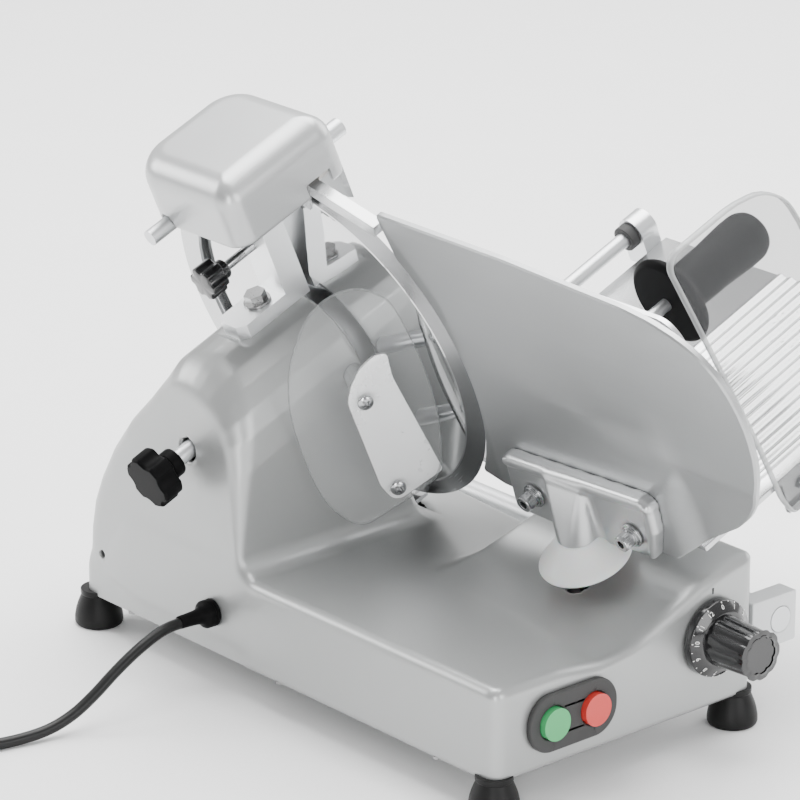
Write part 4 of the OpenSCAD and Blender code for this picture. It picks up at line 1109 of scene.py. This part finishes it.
# ---------------------------------------------------------------- lead gland
gp = [(2.4, -9), (6.4, -9), (6.4, -0.2), (8.2, 0), (8.7, 0.5), (8.7, 1.9), (8.25, 2.3), (8.25, 3.0), (8.7, 3.4), (8.7, 6.4), (8.3, 7.2), (7.0, 8.0), (5.6, 9.2), (4.9, 11.2),
      (4.5, 14.0), (4.2, 20.0), (4.05, 25.4), (3.9, 25.9), (3.5, 25.95), (3.5, 20.0), (2.4, 20.0)]
v_, f_ = lathe(gp, lambda v: np.stack([23 + v[:, 0], -120.05 - v[:, 2], 48.5 + v[:, 1]], 1), 72, close=True)
add_mesh("gland_sleeve", v_, f_, "black_plastic", "frame", "black_plastic", ["cable_gland"], smooth=35)

# ---------------------------------------------------------------- broken edges on the nodes that stay
for n_, w_ in (("ring_guard", 0.5), ("sharpener_bracket", 0.9), ("bracket_bolt", 0.5), ("rod_end_blocks", 1.0), ("rod_bushes", 0.7), ("grinding_pin", 0.6),
               ("deburring_pin", 0.6), ("carriage_arm", 1.5), ("rod_holders", 1.2), ("switch_bezel", 1.0), ("start_button", 1.2), ("stop_button", 1.2),
               ("mains_plug", 0.8), ("pusher_plate", 0.5), ("pusher_arm", 1.0), ("sharpener_body", 0.6), ("blade_cover", 0.4), ("bottom_plate", 0.3),
               ("pusher_rod", 0.6), ("slide_rod", 0.8), ("tie_rod", 0.4), ("guard_screws", 0.4), ("deflector_posts", 0.4), ("grinding_stone", 0.5), ("deburring_stone", 0.5),
               ("pusher_bush", 0.5)):
    soften(n_, w_)

# ---------------------------------------------------------------- stage
fl = bpy.data.meshes.new("floor")
bm = bmesh.new()
bmesh.ops.create_grid(bm, x_segments=1, y_segments=1, size=6.0)
bm.to_mesh(fl)
bm.free()
floor = bpy.data.objects.new("floor", fl)
bpy.context.scene.collection.objects.link(floor)
fl.materials.append(material("floor_paper", (0.93, 0.93, 0.93), 0.0, 0.7, vary=0.01, grain=200, bump=0.02))
world = bpy.data.worlds.new("studio")
bpy.context.scene.world = world
world.use_nodes = True
wt = world.node_tree
bg = wt.nodes["Background"]
bg.inputs["Strength"].default_value = 1.25
wc = wt.nodes.new("ShaderNodeTexCoord")
dot = wt.nodes.new("ShaderNodeVectorMath"); dot.operation = "DOT_PRODUCT"
dot.inputs[1].default_value = Vector((-0.45, 0.55, 0.70)).normalized()
wt.links.new(wc.outputs["Generated"], dot.inputs[0])
wr = wt.nodes.new("ShaderNodeMapRange")
wr.inputs["From Min"].default_value = -0.75
wr.inputs["From Max"].default_value = 0.85
wt.links.new(dot.outputs["Value"], wr.inputs["Value"])
wramp = wt.nodes.new("ShaderNodeValToRGB")
wramp.color_ramp.elements[0].color = (0.10, 0.10, 0.104, 1)
wramp.color_ramp.elements[1].color = (1.0, 1.0, 1.0, 1)
wt.links.new(wr.outputs["Result"], wramp.inputs["Fac"])
wt.links.new(wramp.outputs["Color"], bg.inputs["Color"])


def area(name, at, aim, size, power, size_y=None):
    d = bpy.data.lights.new(name, "AREA")
    d.shape = "RECTANGLE"
    d.size, d.size_y = size, size_y or size
    d.energy = power
    o = bpy.data.objects.new(name, d)
    bpy.context.scene.collection.objects.link(o)
    o.location = at
    o.rotation_mode = "QUATERNION"
    o.rotation_quaternion = (Vector(aim) - Vector(at)).to_track_quat("-Z", "Y")
    return o


area("key", (-0.5, 0.5, 2.4), (0, 0, 0.1), 2.2, 150)
area("left", (-2.0, -1.3, 1.1), (0, 0, 0.15), 1.1, 34)
area("back", (0.3, 2.4, 1.3), (0.05, 0, 0.15), 1.8, 44)
area("front", (1.45, -1.62, 0.42), (0, -0.05, 0.14), 0.34, 17, 0.9)
area("right", (2.5, -0.1, 0.9), (0, -0.02, 0.14), 1.3, 34)

# ---------------------------------------------------------------- end
gland = NODE["cable_gland"]
